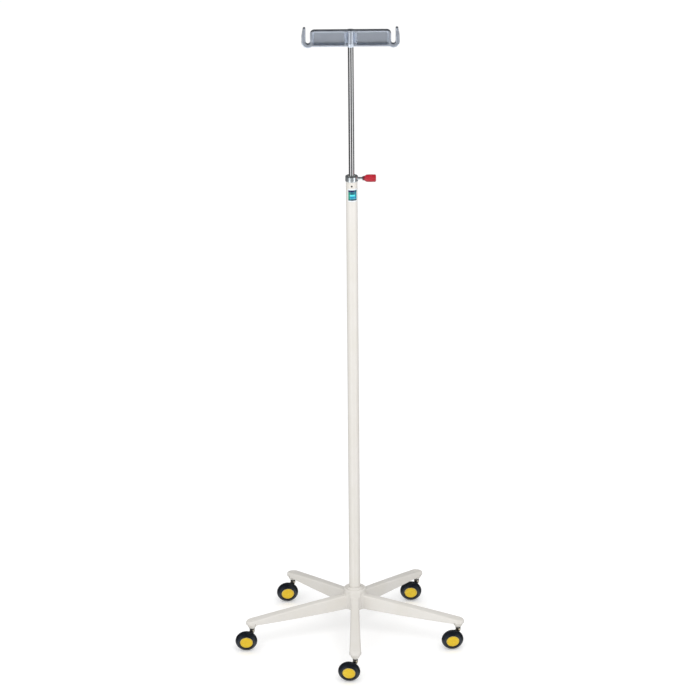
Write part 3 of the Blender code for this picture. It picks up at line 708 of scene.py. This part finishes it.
def arm_mesh():
    """One arm along +X, hollow from below, with its ribs and the socket for the castor."""
    rings = [arm_ring(r, along_arm(r, ARM_WIDTH) / 2) for r in ARM_STATIONS]
    tip_half = ARM_WIDTH[2] / 2
    for i in range(TIP_STEPS + 1):
        turn = math.radians(TIP_SWEEP * i / TIP_STEPS)
        droop = TIP_DROOP * (1 - math.cos(turn))
        r = CASTOR_CIRCLE_R + tip_half * math.sin(turn)
        rings.append(arm_ring(r, tip_half * math.cos(turn), droop))
    arm = add("arm", lofted("arm", rings))
    start, end = POCKET_ENDS
    pitch = (end - start + RIB) / POCKETS_PER_ARM
    for i in range(POCKETS_PER_ARM):
        near = start + i * pitch
        cut(arm, pocket_mesh(near, near + pitch - RIB))
    socket = plug("socket", SOCKET_R, SOCKET_TOP_Z, SOCKET_TOP_Z - CUT_PAST)
    socket.transform(Matrix.Translation((CASTOR_CIRCLE_R, 0.0, 0.0)))
    return evaluated(cut(arm, socket))


def pocket_mesh(near, far):
    """The hollow under an arm between two ribs."""
    rings = []
    for r in (near, far):
        half = along_arm(r, ARM_WIDTH) / 2 - ARM_WALL
        roof = along_arm(r, ARM_TOP_Z) - ARM_ROOF
        right = [(half, HUB_BOTTOM_Z - CUT_PAST, 0.0), (half - ARM_DRAFT, roof, 0.003)]
        rings.append(across_arm(r, right, 5))
    return lofted("pocket", rings)


def hub_mesh():
    """The hub: a lip round the tube, a groove between each two arms, and a floor."""
    bore = TUBE_R + GAP
    profile = [
        (bore, HUB_LIP_Z, 0.0004), (bore + 0.0021, HUB_LIP_Z, 0.0012),
        (bore + 0.004, HUB_TOP_Z - 0.0012, 0.0012), (HUB_R - 0.004, HUB_TOP_Z - 0.0012, 0.001),
        (HUB_R - 0.0032, HUB_TOP_Z, 0.0008), (HUB_R, HUB_TOP_Z, 0.0014),
        (HUB_R + 0.0006, HUB_BOTTOM_Z, 0.001), (HUB_R - 0.0042, HUB_BOTTOM_Z, 0.0008),
        (HUB_R - 0.0048, HUB_FLOOR_Z[0], 0.0015), (BOLT_HOLE_R, HUB_FLOOR_Z[0], 0.0),
        (BOLT_HOLE_R, HUB_FLOOR_Z[1], 0.0), (bore, HUB_FLOOR_Z[1], 0.0),
    ]
    hub = add("hub", lathe("hub", profile, 0.0005, 4, 96, closed=True))
    outline = [(0.0, 0.112), (0.0018, 0.1114), (0.0026, 0.11), (0.0026, 0.06), (0.0, 0.06)]
    for angle in arm_angles():
        groove = turned("groove", outline, 20)
        middle = angle + math.radians(36)
        reach = HUB_R + 0.0008
        place = (reach * math.cos(middle), reach * math.sin(middle), 0.0)
        groove.transform(Matrix.Translation(place))
        cut(hub, groove)
    return evaluated(hub)


def arm_angles():
    places = [joints[f"castor_{n}_swivel"]["pos_m"] for n in CASTORS]
    return [math.atan2(place[1], place[0]) for place in places]


def tip_mark_mesh():
    """The shallow seat cast on top of an arm's tip: a low rim round a pip."""
    profile = [
        (0.0, 0.0007), (0.0013, 0.0006, 0.0004), (0.002, 0.0002, 0.0006), (0.0042, 0.0002, 0.0006),
        (0.005, 0.0007, 0.0005), (0.0058, 0.0, 0.0004), (0.0058, -0.001), (0.0, -0.001),
    ]
    return lathe("tip_mark", profile, 0.0003, 3, 48)


def make_base(paint, zinc):
    arm = arm_mesh()
    meshes = [hub_mesh()]
    for angle in arm_angles():
        turned_arm = arm.copy()
        turned_arm.transform(Matrix.Rotation(angle, 4, "Z"))
        meshes.append(turned_arm)
    body = cast("base_body", meshes, *BASE_SKIN)
    piece("base_body", body, "stand", paint, "base_casting")
    top = along_arm(CASTOR_CIRCLE_R, ARM_TOP_Z)
    slope = math.atan((along_arm(CASTOR_CIRCLE_R + 0.004, ARM_TOP_Z) - top) / 0.004)
    flank = along_arm(CASTOR_CIRCLE_R + TIP_PIN_X, ARM_WIDTH) / 2 - TIP_PIN_SUNK
    for number, angle in zip(CASTORS, arm_angles()):
        out = Matrix.Rotation(angle, 4, "Z") @ Matrix.Translation((CASTOR_CIRCLE_R, 0.0, 0.0))
        place = out @ spot(TIP_MARK_X, 0.0, top + TIP_MARK_X * math.tan(slope), -slope, "Y")
        mark = f"arm_tip_mark_{number}"
        piece(mark, tip_mark_mesh(), "stand", paint, place=place)
        for side, hand in ((-1, "right"), (1, "left")):
            place = out @ spot(TIP_PIN_X, side * flank, TIP_PIN_Z, -side * math.pi / 2)
            pin = f"arm_tip_pin_{number}_{hand}"
            piece(pin, grub_mesh(TIP_PIN_R), "stand", zinc, place=place)


def grub_mesh(r):
    """A socket set screw's outer end, facing +Z, with a round-bottomed socket."""
    profile = [
        (0.0, -0.0006), (r * 0.45, -0.0006, 0.0001), (r * 0.52, 0.0007, 0.0002),
        (r * 0.86, 0.0007, 0.0003), (r, 0.0003, 0.0002), (r, -0.0012),
    ]
    return lathe("grub", profile, 0.0, 3, 24)


def make_base_bolt(zinc):
    """The bolt's hexagon head, chamfered below, and its washer."""
    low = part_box("base_bolt")[0]
    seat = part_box("base_washer")[0].z - GAP
    turns = [math.tau * (i + 0.5) / 6 for i in range(6)]
    corners = [(math.cos(a) * BOLT_HEAD_R, math.sin(a) * BOLT_HEAD_R, 0.0004) for a in turns]
    around = filleted(corners, 0.0004, 3, closed=True)
    flat = BOLT_HEAD_R * math.cos(math.pi / 6)
    chamfered = flat + (BOLT_HEAD_R - flat) * 0.1 - 0.00027
    rings = []
    for z, limit in ((seat, BOLT_HEAD_R), (low.z + 0.0008, BOLT_HEAD_R), (low.z, chamfered)):
        shares = [min(1.0, limit / math.hypot(x, y)) for x, y in around]
        rings.append([(x * share, y * share, z) for (x, y), share in zip(around, shares)])
    head = lofted("base_bolt_head", rings)
    piece("base_bolt_head", head, "stand", zinc, "base_bolt")
    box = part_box("base_washer")
    washer = sleeve("washer", WASHER_BORE_R, box[1].x, box, (0.0002, 0.0004, 0.0005, 0.0002), 64)
    piece("base_washer_ring", washer, "stand", zinc, "base_washer")


# ---- mast ----

TUBE_WALL = 0.0015
ROD_R = TUBE_R / 2
ROD_WALL = 0.0012
COLLAR_BORE_R = 0.0082
PIN_HOLE_R = 0.0021
PIN_R = 0.0019
PIN_SUNK = 0.0005
LABEL_LIFT = (0.00028, 0.0001)  # the film's two faces above the tube's wall
LABEL_SPAN = (math.radians(-43.0), math.radians(61.0))
LABEL_CORNER_R = 0.0016
LABEL_GRID = (40, 16)
KNOB_NECK_LONG = 0.0066
KNOB_FLUTES = 6
FLUTE_DEPTH = 0.0009
KNOB_SEGMENTS = 144


def make_mast(tube_paint, satin, nylon, dark, label):
    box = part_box("outer_tube")
    inside = TUBE_R - TUBE_WALL
    mesh = sleeve("mast_tube", inside, TUBE_R, box, (0.0003, 0.0005, 0.0005, 0.0003), 96)
    tube = add("mast_tube", mesh)
    low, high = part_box("collar_pin")
    place = spot(0.0, low.y + PIN_SUNK, (low.z + high.z) / 2, math.pi / 2)
    hole = plug("pin_hole", PIN_HOLE_R, -0.0014, 0.003)
    hole.transform(place)
    cut(tube, hole)
    shade(tube.data)
    finish_piece(tube, "stand", tube_paint, "outer_tube")
    pin = grub_mesh(PIN_R)
    piece("collar_grub", pin, "stand", dark, "collar_pin", place=place)

    low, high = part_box("collar")
    spigot, ring_low = inside - GAP, box[1].z + GAP
    profile = [
        (COLLAR_BORE_R, high.z, 0.0005), (high.x, high.z, 0.0017), (high.x, ring_low, 0.0009),
        (spigot, ring_low, 0.0), (spigot, low.z, 0.0005), (COLLAR_BORE_R, low.z, 0.0003),
    ]
    ring = lathe("mast_collar", profile, 0.0004, 6, 96, closed=True)
    piece("mast_collar", ring, "stand", satin, "collar")

    box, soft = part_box("guide_bush"), (0.0005, 0.0004, 0.0002, 0.0002)
    bush = sleeve("rod_guide", ROD_R + GAP, COLLAR_BORE_R - GAP, box, soft, 64)
    piece("rod_guide", bush, "stand", nylon, "guide_bush")

    piece("mast_label", label_mesh(), "stand", label, "label")


def grid_rim(grid):
    """The vertices round a grid's edge."""
    top, bottom = [c[-1] for c in grid[1:-1]], [c[0] for c in grid[-2:0:-1]]
    return grid[0] + top + grid[-1][::-1] + bottom


def label_mesh():
    """The film round the tube's front, with rounded corners."""
    low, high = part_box("label")
    start, end = LABEL_SPAN
    across, steps = LABEL_GRID
    bm = bmesh.new()
    sides = []
    for lift in LABEL_LIFT:
        radius = TUBE_R + lift
        grid = []
        for i in range(across + 1):
            t = i / across
            turn = start + (end - start) * t
            edge = min(t, 1 - t) * (end - start) * TUBE_R
            past = max(0.0, LABEL_CORNER_R - edge)
            trim = LABEL_CORNER_R - math.sqrt(max(0.0, LABEL_CORNER_R**2 - past**2))
            column = []
            for k in range(steps + 1):
                z = low.z + trim + (high.z - low.z - 2 * trim) * k / steps
                column.append(bm.verts.new((radius * math.sin(turn), -radius * math.cos(turn), z)))
            grid.append(column)
        sides.append(grid)
    for grid in sides:
        skin(bm, grid, closed_round=False)
    skin(bm, [grid_rim(grid) for grid in sides])
    return finished("mast_label", bm)


def make_clamp(satin, red):
    axis = joints["clamp_turn"]["pos_m"]
    place = spot(0.0, axis[1], axis[2], math.pi / 2, "Y")
    low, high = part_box("clamp_screw")
    r = (high.z - low.z) / 2
    profile = [(0.0, high.x), (r, high.x, 0.0005), (r, low.x, 0.0006), (0.0, low.x)]
    stud = lathe("clamp_stud", profile, 0.0, 4, 48)
    piece("clamp_stud", stud, "clamp_knob", satin, "clamp_screw", place=place)
    grip = knob_mesh(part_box("clamp_knob"))
    piece("clamp_grip", grip, "clamp_knob", red, "clamp_knob", place=place)


def knob_mesh(box):
    """A fluted barrel with a rounded outer end and a tapered neck, along +Z."""
    low, high = box
    radius = (high.y - low.y) / 2
    neck, end = low.x, high.x
    shoulder = neck + KNOB_NECK_LONG
    profile = [
        (0.0, end), (radius - 0.0022, end, 0.0006), (radius - 0.0002, end - 0.0016, 0.0012),
        (radius, (shoulder + end) / 2, 0.02), (radius - 0.0003, shoulder + 0.0028, 0.004),
        (radius - 0.0018, shoulder, 0.0012), (0.0051, neck + 0.0042, 0.002), (0.0047, neck, 0.0006),
        (0.0033, neck, 0.0), (0.0033, neck + 0.004, 0.0), (0.0, neck + 0.004),
    ]
    bm = bmesh.new()
    loops = []
    for r, z in filleted(profile, 0.0006, 6):
        if r < 1e-6:
            loops.append([bm.verts.new((0.0, 0.0, z))])
            continue
        fluted = min(1.0, max(0.0, (r - 0.0056) / 0.0016))
        fluted *= min(1.0, max(0.0, (z - shoulder + 0.001) / 0.003))
        loop = []
        for i in range(KNOB_SEGMENTS):
            turn = math.tau * i / KNOB_SEGMENTS
            flute = 0.5 - 0.5 * math.cos(KNOB_FLUTES * turn)
            reach = r - FLUTE_DEPTH * fluted * flute**3
            loop.append(bm.verts.new((reach * math.cos(turn), reach * math.sin(turn), z)))
        loops.append(loop)
    skin(bm, loops)
    return finished("clamp_grip", bm, 50.0)


# ---- rod and head ----

HEAD_BOTTOM_Z = 1.4057
HEAD_TOP_Z = 1.4438
HEAD_BAR_HALF = 0.0885
HEAD_CORNER_R = 0.0095
HEAD_EDGE = 0.0021
HEAD_HALF_THICK = 0.005
HOOK_CENTRE = (0.0934, HEAD_BOTTOM_Z + 0.0118)
HOOK_GAP_R = 0.0049
HOOK_OUTER_R = 0.014
HOOK_OUTER_DROP = 0.0004
HOOK_BACK = (0.1071, 1.43)
HOOK_TIP_R = 0.0029
HOOK_TIP = (0.1013, 1.4465)
PANEL_X = (0.012, 0.0826)
PANEL_Z = (1.4108, 1.4396)
PANEL_DEPTH = {-1: 0.006, 1: 0.0015}  # from the front, and from the back
PANEL_FILLET_R = 0.0016
PANEL_SLOPE = 0.0007
BOSS_R = 0.0088
BOSS_LOW_Z = HEAD_BOTTOM_Z - 0.0012
WEB_FACE_Y = -0.0026
WEB_RIM = 0.0012
HEAD_BORE_TOP_Z = 1.436
HEAD_SCREW_R = 0.002
HEAD_SKIN = (0.0004, 2, 0.25)


def make_rod(chrome):
    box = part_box("inner_rod")
    outside = box[1].x
    soft = (0.0, 0.0008, 0.0005, 0.0)
    rod = sleeve("sliding_rod", outside - ROD_WALL, outside, box, soft, 96)
    piece("sliding_rod", rod, "rod", chrome, "inner_rod")


def arc(centre, radius, start, end, count):
    """Points on an arc between two angles in degrees."""
    turns = [math.radians(start + (end - start) * i / (count - 1)) for i in range(count)]
    return [(centre[0] + radius * math.cos(a), centre[1] + radius * math.sin(a)) for a in turns]


def head_outline():
    """The head's outline: a bar with round upper corners and a hook at each end."""
    outer = (HOOK_CENTRE[0], HOOK_CENTRE[1] - HOOK_OUTER_DROP)
    meet = math.degrees(math.asin((HEAD_BOTTOM_Z - outer[1]) / HOOK_OUTER_R))
    corner = (HEAD_BAR_HALF - HEAD_CORNER_R, HEAD_TOP_Z - HEAD_CORNER_R)
    right = [(0.0, HEAD_BOTTOM_Z)]
    right += arc(outer, HOOK_OUTER_R, -180 - meet, 0, 36)
    right += [HOOK_BACK]
    right += arc(HOOK_TIP, HOOK_TIP_R, 10, 180, 16)
    right += arc(HOOK_CENTRE, HOOK_GAP_R, 0, -180, 24)
    right += arc(corner, HEAD_CORNER_R, 0, 90, 16)
    left = [(-x, z) for x, z in reversed(right) if x > 0]
    return right + left


def head_bar_mesh():
    """The outline thickened to both sides, with round edges."""
    data = bpy.data.curves.new("head_bar", "CURVE")
    data.dimensions = "2D"
    data.fill_mode = "BOTH"
    data.extrude = HEAD_HALF_THICK - HEAD_EDGE
    data.bevel_depth = HEAD_EDGE
    data.bevel_resolution = 4
    data.offset = -HEAD_EDGE
    outline = head_outline()
    spline = data.splines.new("POLY")
    spline.points.add(len(outline) - 1)
    for point, (x, z) in zip(spline.points, outline):
        point.co = (x, z, 0.0, 1.0)
    spline.use_cyclic_u = True
    mesh = evaluated(add("head_bar", data))
    mesh.transform(Matrix.Rotation(math.pi / 2, 4, "X"))
    bm = bmesh.new()
    bm.from_mesh(mesh)
    bmesh.ops.remove_doubles(bm, verts=bm.verts, dist=0.00001)
    return finished("head_bar", bm)


def panel_mesh(side, facing):
    """What is sunk out of the head's face beside the boss, with a filleted floor."""
    face = facing * HEAD_HALF_THICK
    depth = PANEL_DEPTH[facing]
    soft = min(PANEL_FILLET_R, depth * 0.6)
    steps = [(0.004, -0.0004), (0.0004, -0.0004), (-0.0002, 0.0), (soft - depth, PANEL_SLOPE)]
    for i in range(1, 5):
        turn = math.radians(90.0 * i / 4)
        reach, inset = soft * (1 - math.sin(turn)), soft * (1 - math.cos(turn))
        steps.append((-depth + reach, PANEL_SLOPE + inset))
    rings = []
    for reach, inset in steps:
        x0, x1 = PANEL_X[0] + inset, PANEL_X[1] - inset
        z0, z1 = PANEL_Z[0] + inset, PANEL_Z[1] - inset
        corners = [(x0, z0), (x1, z0), (x1, z1), (x0, z1)]
        outline = filleted(corners, max(0.0012, 0.004 - inset), 6, closed=True)
        rings.append([(side * x, face + facing * reach, z) for x, z in outline])
    return lofted("panel", rings)


def boss_mesh():
    """The upright boss over the rod, which narrows to a collar below the bar."""
    top = HEAD_TOP_Z - 0.0003
    profile = [
        (0.0, top), (BOSS_R, top, 0.0012), (BOSS_R, HEAD_BOTTOM_Z + 0.006, 0.01),
        (BOSS_R - 0.0014, BOSS_LOW_Z + 0.0012, 0.004), (BOSS_R - 0.0016, BOSS_LOW_Z, 0.0006),
        (0.0, BOSS_LOW_Z),
    ]
    return lathe("boss", profile, 0.0, 6, 64)


def web_mesh(side):
    """What is sunk out of the front between the boss and a panel."""
    inner, outer = BOSS_R * 0.5, PANEL_X[0] - WEB_RIM
    low, high = PANEL_Z[0] + 0.001, PANEL_Z[1] - 0.001
    rings = []
    for y, grow in ((-CUT_PAST, 0.0), (WEB_FACE_Y, -0.0004)):
        outline = [
            (inner, low - 0.003), (outer - 0.003, low - 0.0024), (outer + grow, low + 0.0022),
            (outer + grow, high), (inner, high),
        ]
        rings.append([(side * x, y, z) for x, z in filleted(outline, 0.0012, 4, closed=True)])
    return lofted("web", rings)


def make_head(alloy, zinc):
    bar = add("bar", head_bar_mesh())
    for side in (-1, 1):
        for facing in (-1, 1):
            cut(bar, panel_mesh(side, facing))
        cut(bar, web_mesh(side))
    cut(bar, boss_mesh(), "UNION")
    cut(bar, plug("bore", ROD_R + GAP, HEAD_BORE_TOP_Z, BOSS_LOW_Z - 0.01, 64))
    head = cast("bag_hook_head", [evaluated(bar)], *HEAD_SKIN)
    piece("bag_hook_head", head, "rod", alloy, "hook_head")
    low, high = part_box("head_set_screw")
    place = spot(0.0, high.y - 0.0004, (low.z + high.z) / 2, -math.pi / 2)
    screw = grub_mesh(HEAD_SCREW_R)
    piece("head_grub", screw, "rod", zinc, "head_set_screw", place=place)


# ---- castors ----

TYRE_RING_R = 0.015
TYRE_SECTION_R = 0.01
TYRE_OUT = TYRE_RING_R + TYRE_SECTION_R
TYRE_BORE_R = 0.0154
CAP_R = TYRE_BORE_R - 0.0004
AXLE_R = 0.003
WHEEL_LEAN = math.radians(14)
FLANGE_R = 0.0104
BUSH_BOTTOM_Z = 0.0535
NECK_TOP_Z = 0.0509
NECK_BORE_Z = 0.0449
NECK_R = 0.0056
STEM_SHANK_R = 0.0029
BUSH_BORE_R = 0.0044
RING_R = 0.006
HORN_FOOT_Y = 0.0129  # from the wheel's middle plane, along its axle
HORN_BOSS = (-0.0107, -0.0152)  # the boss round the axle, in the wheel's frame
HORN_CUT_Z = -0.03
HORN_STEPS = 5
HORN_POINTS = 36
SECTION_STEPS = 48
SECTION_SWEEP = 84.0  # degrees of the tyre's section, to each side of its crown


def castor_frames(number):
    """The castor's frame on its stem's axis and its wheel's frame, whose Z is the axle."""
    x, y = joints[f"castor_{number}_swivel"]["pos_m"][:2]
    roll = joints[f"castor_{number}_roll"]
    yaw = math.atan2(roll["axis"][0], -roll["axis"][1])
    hub = spot(*roll["pos_m"], yaw, "Z") @ Matrix.Rotation(math.pi / 2 + WHEEL_LEAN, 4, "X")
    return spot(x, y, 0.0, yaw, "Z"), hub


def tyre_mesh():
    """A half-round tyre with a shallow groove between each sidewall and the tread."""
    profile = []
    for i in range(SECTION_STEPS + 1):
        a = math.radians(SECTION_SWEEP - 2 * SECTION_SWEEP * i / SECTION_STEPS)
        groove = 0.00035 * math.exp(-(((abs(math.degrees(a)) - 47.0) / 4.0) ** 2))
        r = TYRE_SECTION_R - groove
        profile.append((TYRE_RING_R + r * math.cos(a), r * math.sin(a)))
    bead = TYRE_BORE_R + 0.0006
    profile += [(bead, -0.0097), (TYRE_BORE_R, -0.0092), (TYRE_BORE_R, 0.0092), (bead, 0.0097)]
    return turned("tyre", profile, 96, closed=True, angle=50.0)


def core_mesh():
    """The wheel's centre, with a recess for the cap's spigot."""
    outer, bore, recess = TYRE_BORE_R - GAP, AXLE_R + GAP, 0.0082
    profile = [
        (recess, 0.0068, 0.0002), (outer, 0.0068, 0.0003), (outer, -0.0096, 0.0008),
        (0.0126, -0.01, 0.0006), (0.0114, -0.0084, 0.0006), (0.007, -0.0084, 0.0006),
        (0.0062, -0.01, 0.0004), (bore, -0.01, 0.0002), (bore, 0.002, 0.0),
        (recess, 0.002, 0.0005),
    ]
    return lathe("core", profile, 0.0003, 4, 72, closed=True)


def cap_mesh():
    """A shallow dome inside a bevelled rim, with a small ring at the centre."""
    profile = [
        (0.0, 0.009), (0.0022, 0.009, 0.0004), (0.003, 0.0094, 0.0006), (0.008, 0.0092, 0.02),
        (0.0126, 0.0087, 0.003), (0.0131, 0.0083, 0.0004), (0.0136, 0.0086, 0.0003),
        (CAP_R, 0.0074, 0.0004), (CAP_R, 0.0071, 0.0), (0.0078, 0.0071, 0.0),
        (0.0078, 0.0053, 0.0003), (0.0, 0.0053),
    ]
    return lathe("cap", profile, 0.0003, 5, 96, angle=50.0)


def axle_mesh():
    """A rivet with a domed head under the cap."""
    profile = [
        (0.0, 0.0046), (0.0048, 0.0042, 0.0006), (0.0054, 0.003, 0.0004), (0.0054, 0.0023, 0.0),
        (AXLE_R, 0.0023, 0.0), (AXLE_R, -0.0155, 0.0), (0.0044, -0.0155, 0.0002),
        (0.0041, -0.0163, 0.0008), (0.0, -0.0167),
    ]
    return lathe("axle", profile, 0.0003, 4, 40)


def horn_ring(centre, heading, lean, half_width, half_thick):
    """A rounded bar's outline across the horn."""
    wide = Vector((math.cos(heading), 0.0, -math.sin(heading)))
    thick = Vector((0.0, math.cos(lean), math.sin(lean)))
    ring = []
    for i in range(HORN_POINTS):
        turn = math.tau * i / HORN_POINTS
        c, s = math.cos(turn), math.sin(turn)
        across = wide * half_width * math.copysign(abs(c) ** 0.8, c)
        ring.append(Vector(centre) + across + thick * half_thick * math.copysign(abs(s) ** 0.8, s))
    return ring


def horn_stations():
    """Centre, heading, lean, half width and half thickness, from the neck down."""
    roll = joints["castor_1_roll"]
    x, y = joints["castor_1_swivel"]["pos_m"][:2]
    yaw = math.atan2(roll["axis"][0], -roll["axis"][1])
    wheel = Matrix.Rotation(-yaw, 3, "Z") @ (Vector(roll["pos_m"]) - Vector((x, y, 0.0)))
    behind = Vector((0.0, math.cos(WHEEL_LEAN), math.sin(WHEEL_LEAN)))
    return [
        (Vector((0.0, 0.0, NECK_TOP_Z)), 0.0, 0.0, NECK_R - 0.0005, NECK_R - 0.0005),
        (Vector((0.0, 0.0, NECK_TOP_Z - 0.0005)), 0.0, 0.0, NECK_R, NECK_R),
        (Vector((0.0, 0.0, 0.0466)), 0.0, 0.0, NECK_R, NECK_R),
        (Vector((-0.0006, 0.0024, 0.043)), math.radians(15), WHEEL_LEAN, 0.0056, 0.0042),
        (Vector((-0.0032, 0.0062, 0.038)), math.radians(32), WHEEL_LEAN, 0.0056, 0.0029),
        (Vector((-0.008, 0.007, 0.0325)), math.radians(42), WHEEL_LEAN, 0.0058, 0.0023),
        (wheel + behind * HORN_FOOT_Y, math.radians(45), WHEEL_LEAN, 0.006, 0.002),
    ]


def between(a, b, c, d, t):
    """A share t of the way from b to c, on a smooth curve from a to d."""
    leave, arrive = (b - a) * 0.5, (d - c) * 0.5
    return (
        b * (2 * t**3 - 3 * t**2 + 1) + leave * (t**3 - 2 * t**2 + t)
        + c * (3 * t**2 - 2 * t**3) + arrive * (t**3 - t**2)
    )


def horn_mesh(pivot, hub):
    """The one-sided fork in its castor's frame: a straight neck, then a smooth bend."""
    to_pivot = pivot.inverted() @ hub
    stations = horn_stations()
    rings = [horn_ring(*station) for station in stations[:3]]
    for i in range(2, len(stations) - 1):
        after = stations[min(i + 2, len(stations) - 1)]
        for k in range(1, HORN_STEPS + 1):
            values = zip(stations[i - 1], stations[i], stations[i + 1], after)
            rings.append(horn_ring(*(between(*value, k / HORN_STEPS) for value in values)))
    fork = add("fork", lofted("fork", rings))
    near, far = HORN_BOSS
    profile = [(0.0, near), (0.0068, near, 0.0005), (0.0068, far, 0.0006), (0.0, far)]
    boss = lathe("boss", profile, 0.0, 4, 48)
    boss.transform(to_pivot)
    cut(fork, boss, "UNION")
    for hole in (plug("seat", 0.005, far, HORN_CUT_Z), plug("bore", AXLE_R + GAP, 0.0, HORN_CUT_Z)):
        hole.transform(to_pivot)
        cut(fork, hole)
    mesh = evaluated(cut(fork, plug("stem", STEM_SHANK_R + GAP, 0.055, NECK_BORE_Z)))
    return shade(mesh, 40.0)


def bush_mesh():
    """The bush's flange under the arm's tip and its tapered skirt."""
    flange, low = ARM_BOTTOM_Z[2] - GAP, BUSH_BOTTOM_Z
    profile = [
        (BUSH_BORE_R, flange, 0.0), (FLANGE_R, flange, 0.0004), (FLANGE_R, flange - 0.0034, 0.001),
        (0.008, low + 0.0022, 0.002), (0.0064, low, 0.0006), (BUSH_BORE_R, low, 0.0002),
    ]
    return lathe("bush", profile, 0.0002, 4, 48, closed=True)


def make_castors(plated, zinc, nylon, black, rubber, yellow):
    tyre, core, cap, axle = tyre_mesh(), core_mesh(), cap_mesh(), axle_mesh()
    horn, bush = horn_mesh(*castor_frames(1)), bush_mesh()
    box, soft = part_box("castor_1_dust_ring"), (0.0, 0.0005, 0.0005, 0.0)
    seal = sleeve("ring", STEM_SHANK_R + GAP, RING_R, box, soft, 48)
    for number in CASTORS:
        tag = f"castor_{number}_"
        pivot, hub = castor_frames(number)
        wheel, fork = f"{tag}wheel", f"{tag}fork"
        for name, mesh, place, body, finish, node in (
            ("tyre", tyre, hub, wheel, rubber, "tyre"),
            ("wheel_centre", core, hub, wheel, black, "wheel_core"),
            ("hub_cap", cap, hub, wheel, yellow, "cap"),
            ("axle_pin", axle, hub, fork, zinc, "axle"),
            ("fork", horn, pivot, fork, plated, "horn"),
            ("seal", seal, pivot, fork, black, "dust_ring"),
            ("bush", bush, pivot, "stand", nylon, "socket_bush"),
        ):
            piece(f"{tag}{name}_fine", mesh, body, finish, tag + node, place=place)


# ---- the whole stand ----


def keep_nodes(finishes):
    """Gives the CAD nodes that still show a material."""
    for names, finish in finishes:
        for name in names:
            data = nodes[name].data
            data.materials.clear()
            data.materials.append(finish[1])


def build():
    bpy.context.scene.view_settings.view_transform = "Standard"
    make_world()
    make_lights()
    make_floor()
    make_camera()
    tube_paint = "tube_paint", powder_coat("tube_paint", 1.0)
    # painted shade: the base gets a darker copy of the tube's powder coat
    base_paint = "base_paint", powder_coat("base_paint", BASE_SHADE_TONE)
    chrome = "chrome", chrome_plate("chrome_plate", CHROME, 0.075)
    satin = "chrome", chrome_plate("satin_chrome", SATIN, 0.26, solid=0.93)
    zinc = "zinc_steel", zinc_plate()
    alloy = "head_metal", satin_alloy()
    nylon = "nylon", moulded("white_nylon", NYLON, 0.42, 0.0006, 0.00003, 0.006).material
    black = "black_nylon", moulded("black_nylon", BLACK, 0.42, 0.0006, 0.00003, 0.005).material
    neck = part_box("clamp_knob")[0].x
    red = "red_plastic", knob_plastic(neck, neck + KNOB_NECK_LONG)
    make_base(base_paint, zinc)
    make_base_bolt(zinc)
    dark = "zinc_steel", black[1]
    make_mast(tube_paint, satin, nylon, dark, ("label_film", label_film()))
    make_clamp(satin, red)
    make_rod(chrome)
    make_head(alloy, zinc)
    plated = "zinc_steel", passivated()
    rubber, yellow = ("tyre_rubber", tyre_rubber()), ("yellow_plastic", cap_plastic())
    make_castors(plated, zinc, nylon, black, rubber, yellow)
    keep_nodes([
        (["tube_plug", "rod_end_slug", "rod_end_screw"], zinc),
        ([f"castor_{n}_stem" for n in CASTORS], zinc), (["rod_end_bush", "clamp_pad"], nylon),
    ])


build()
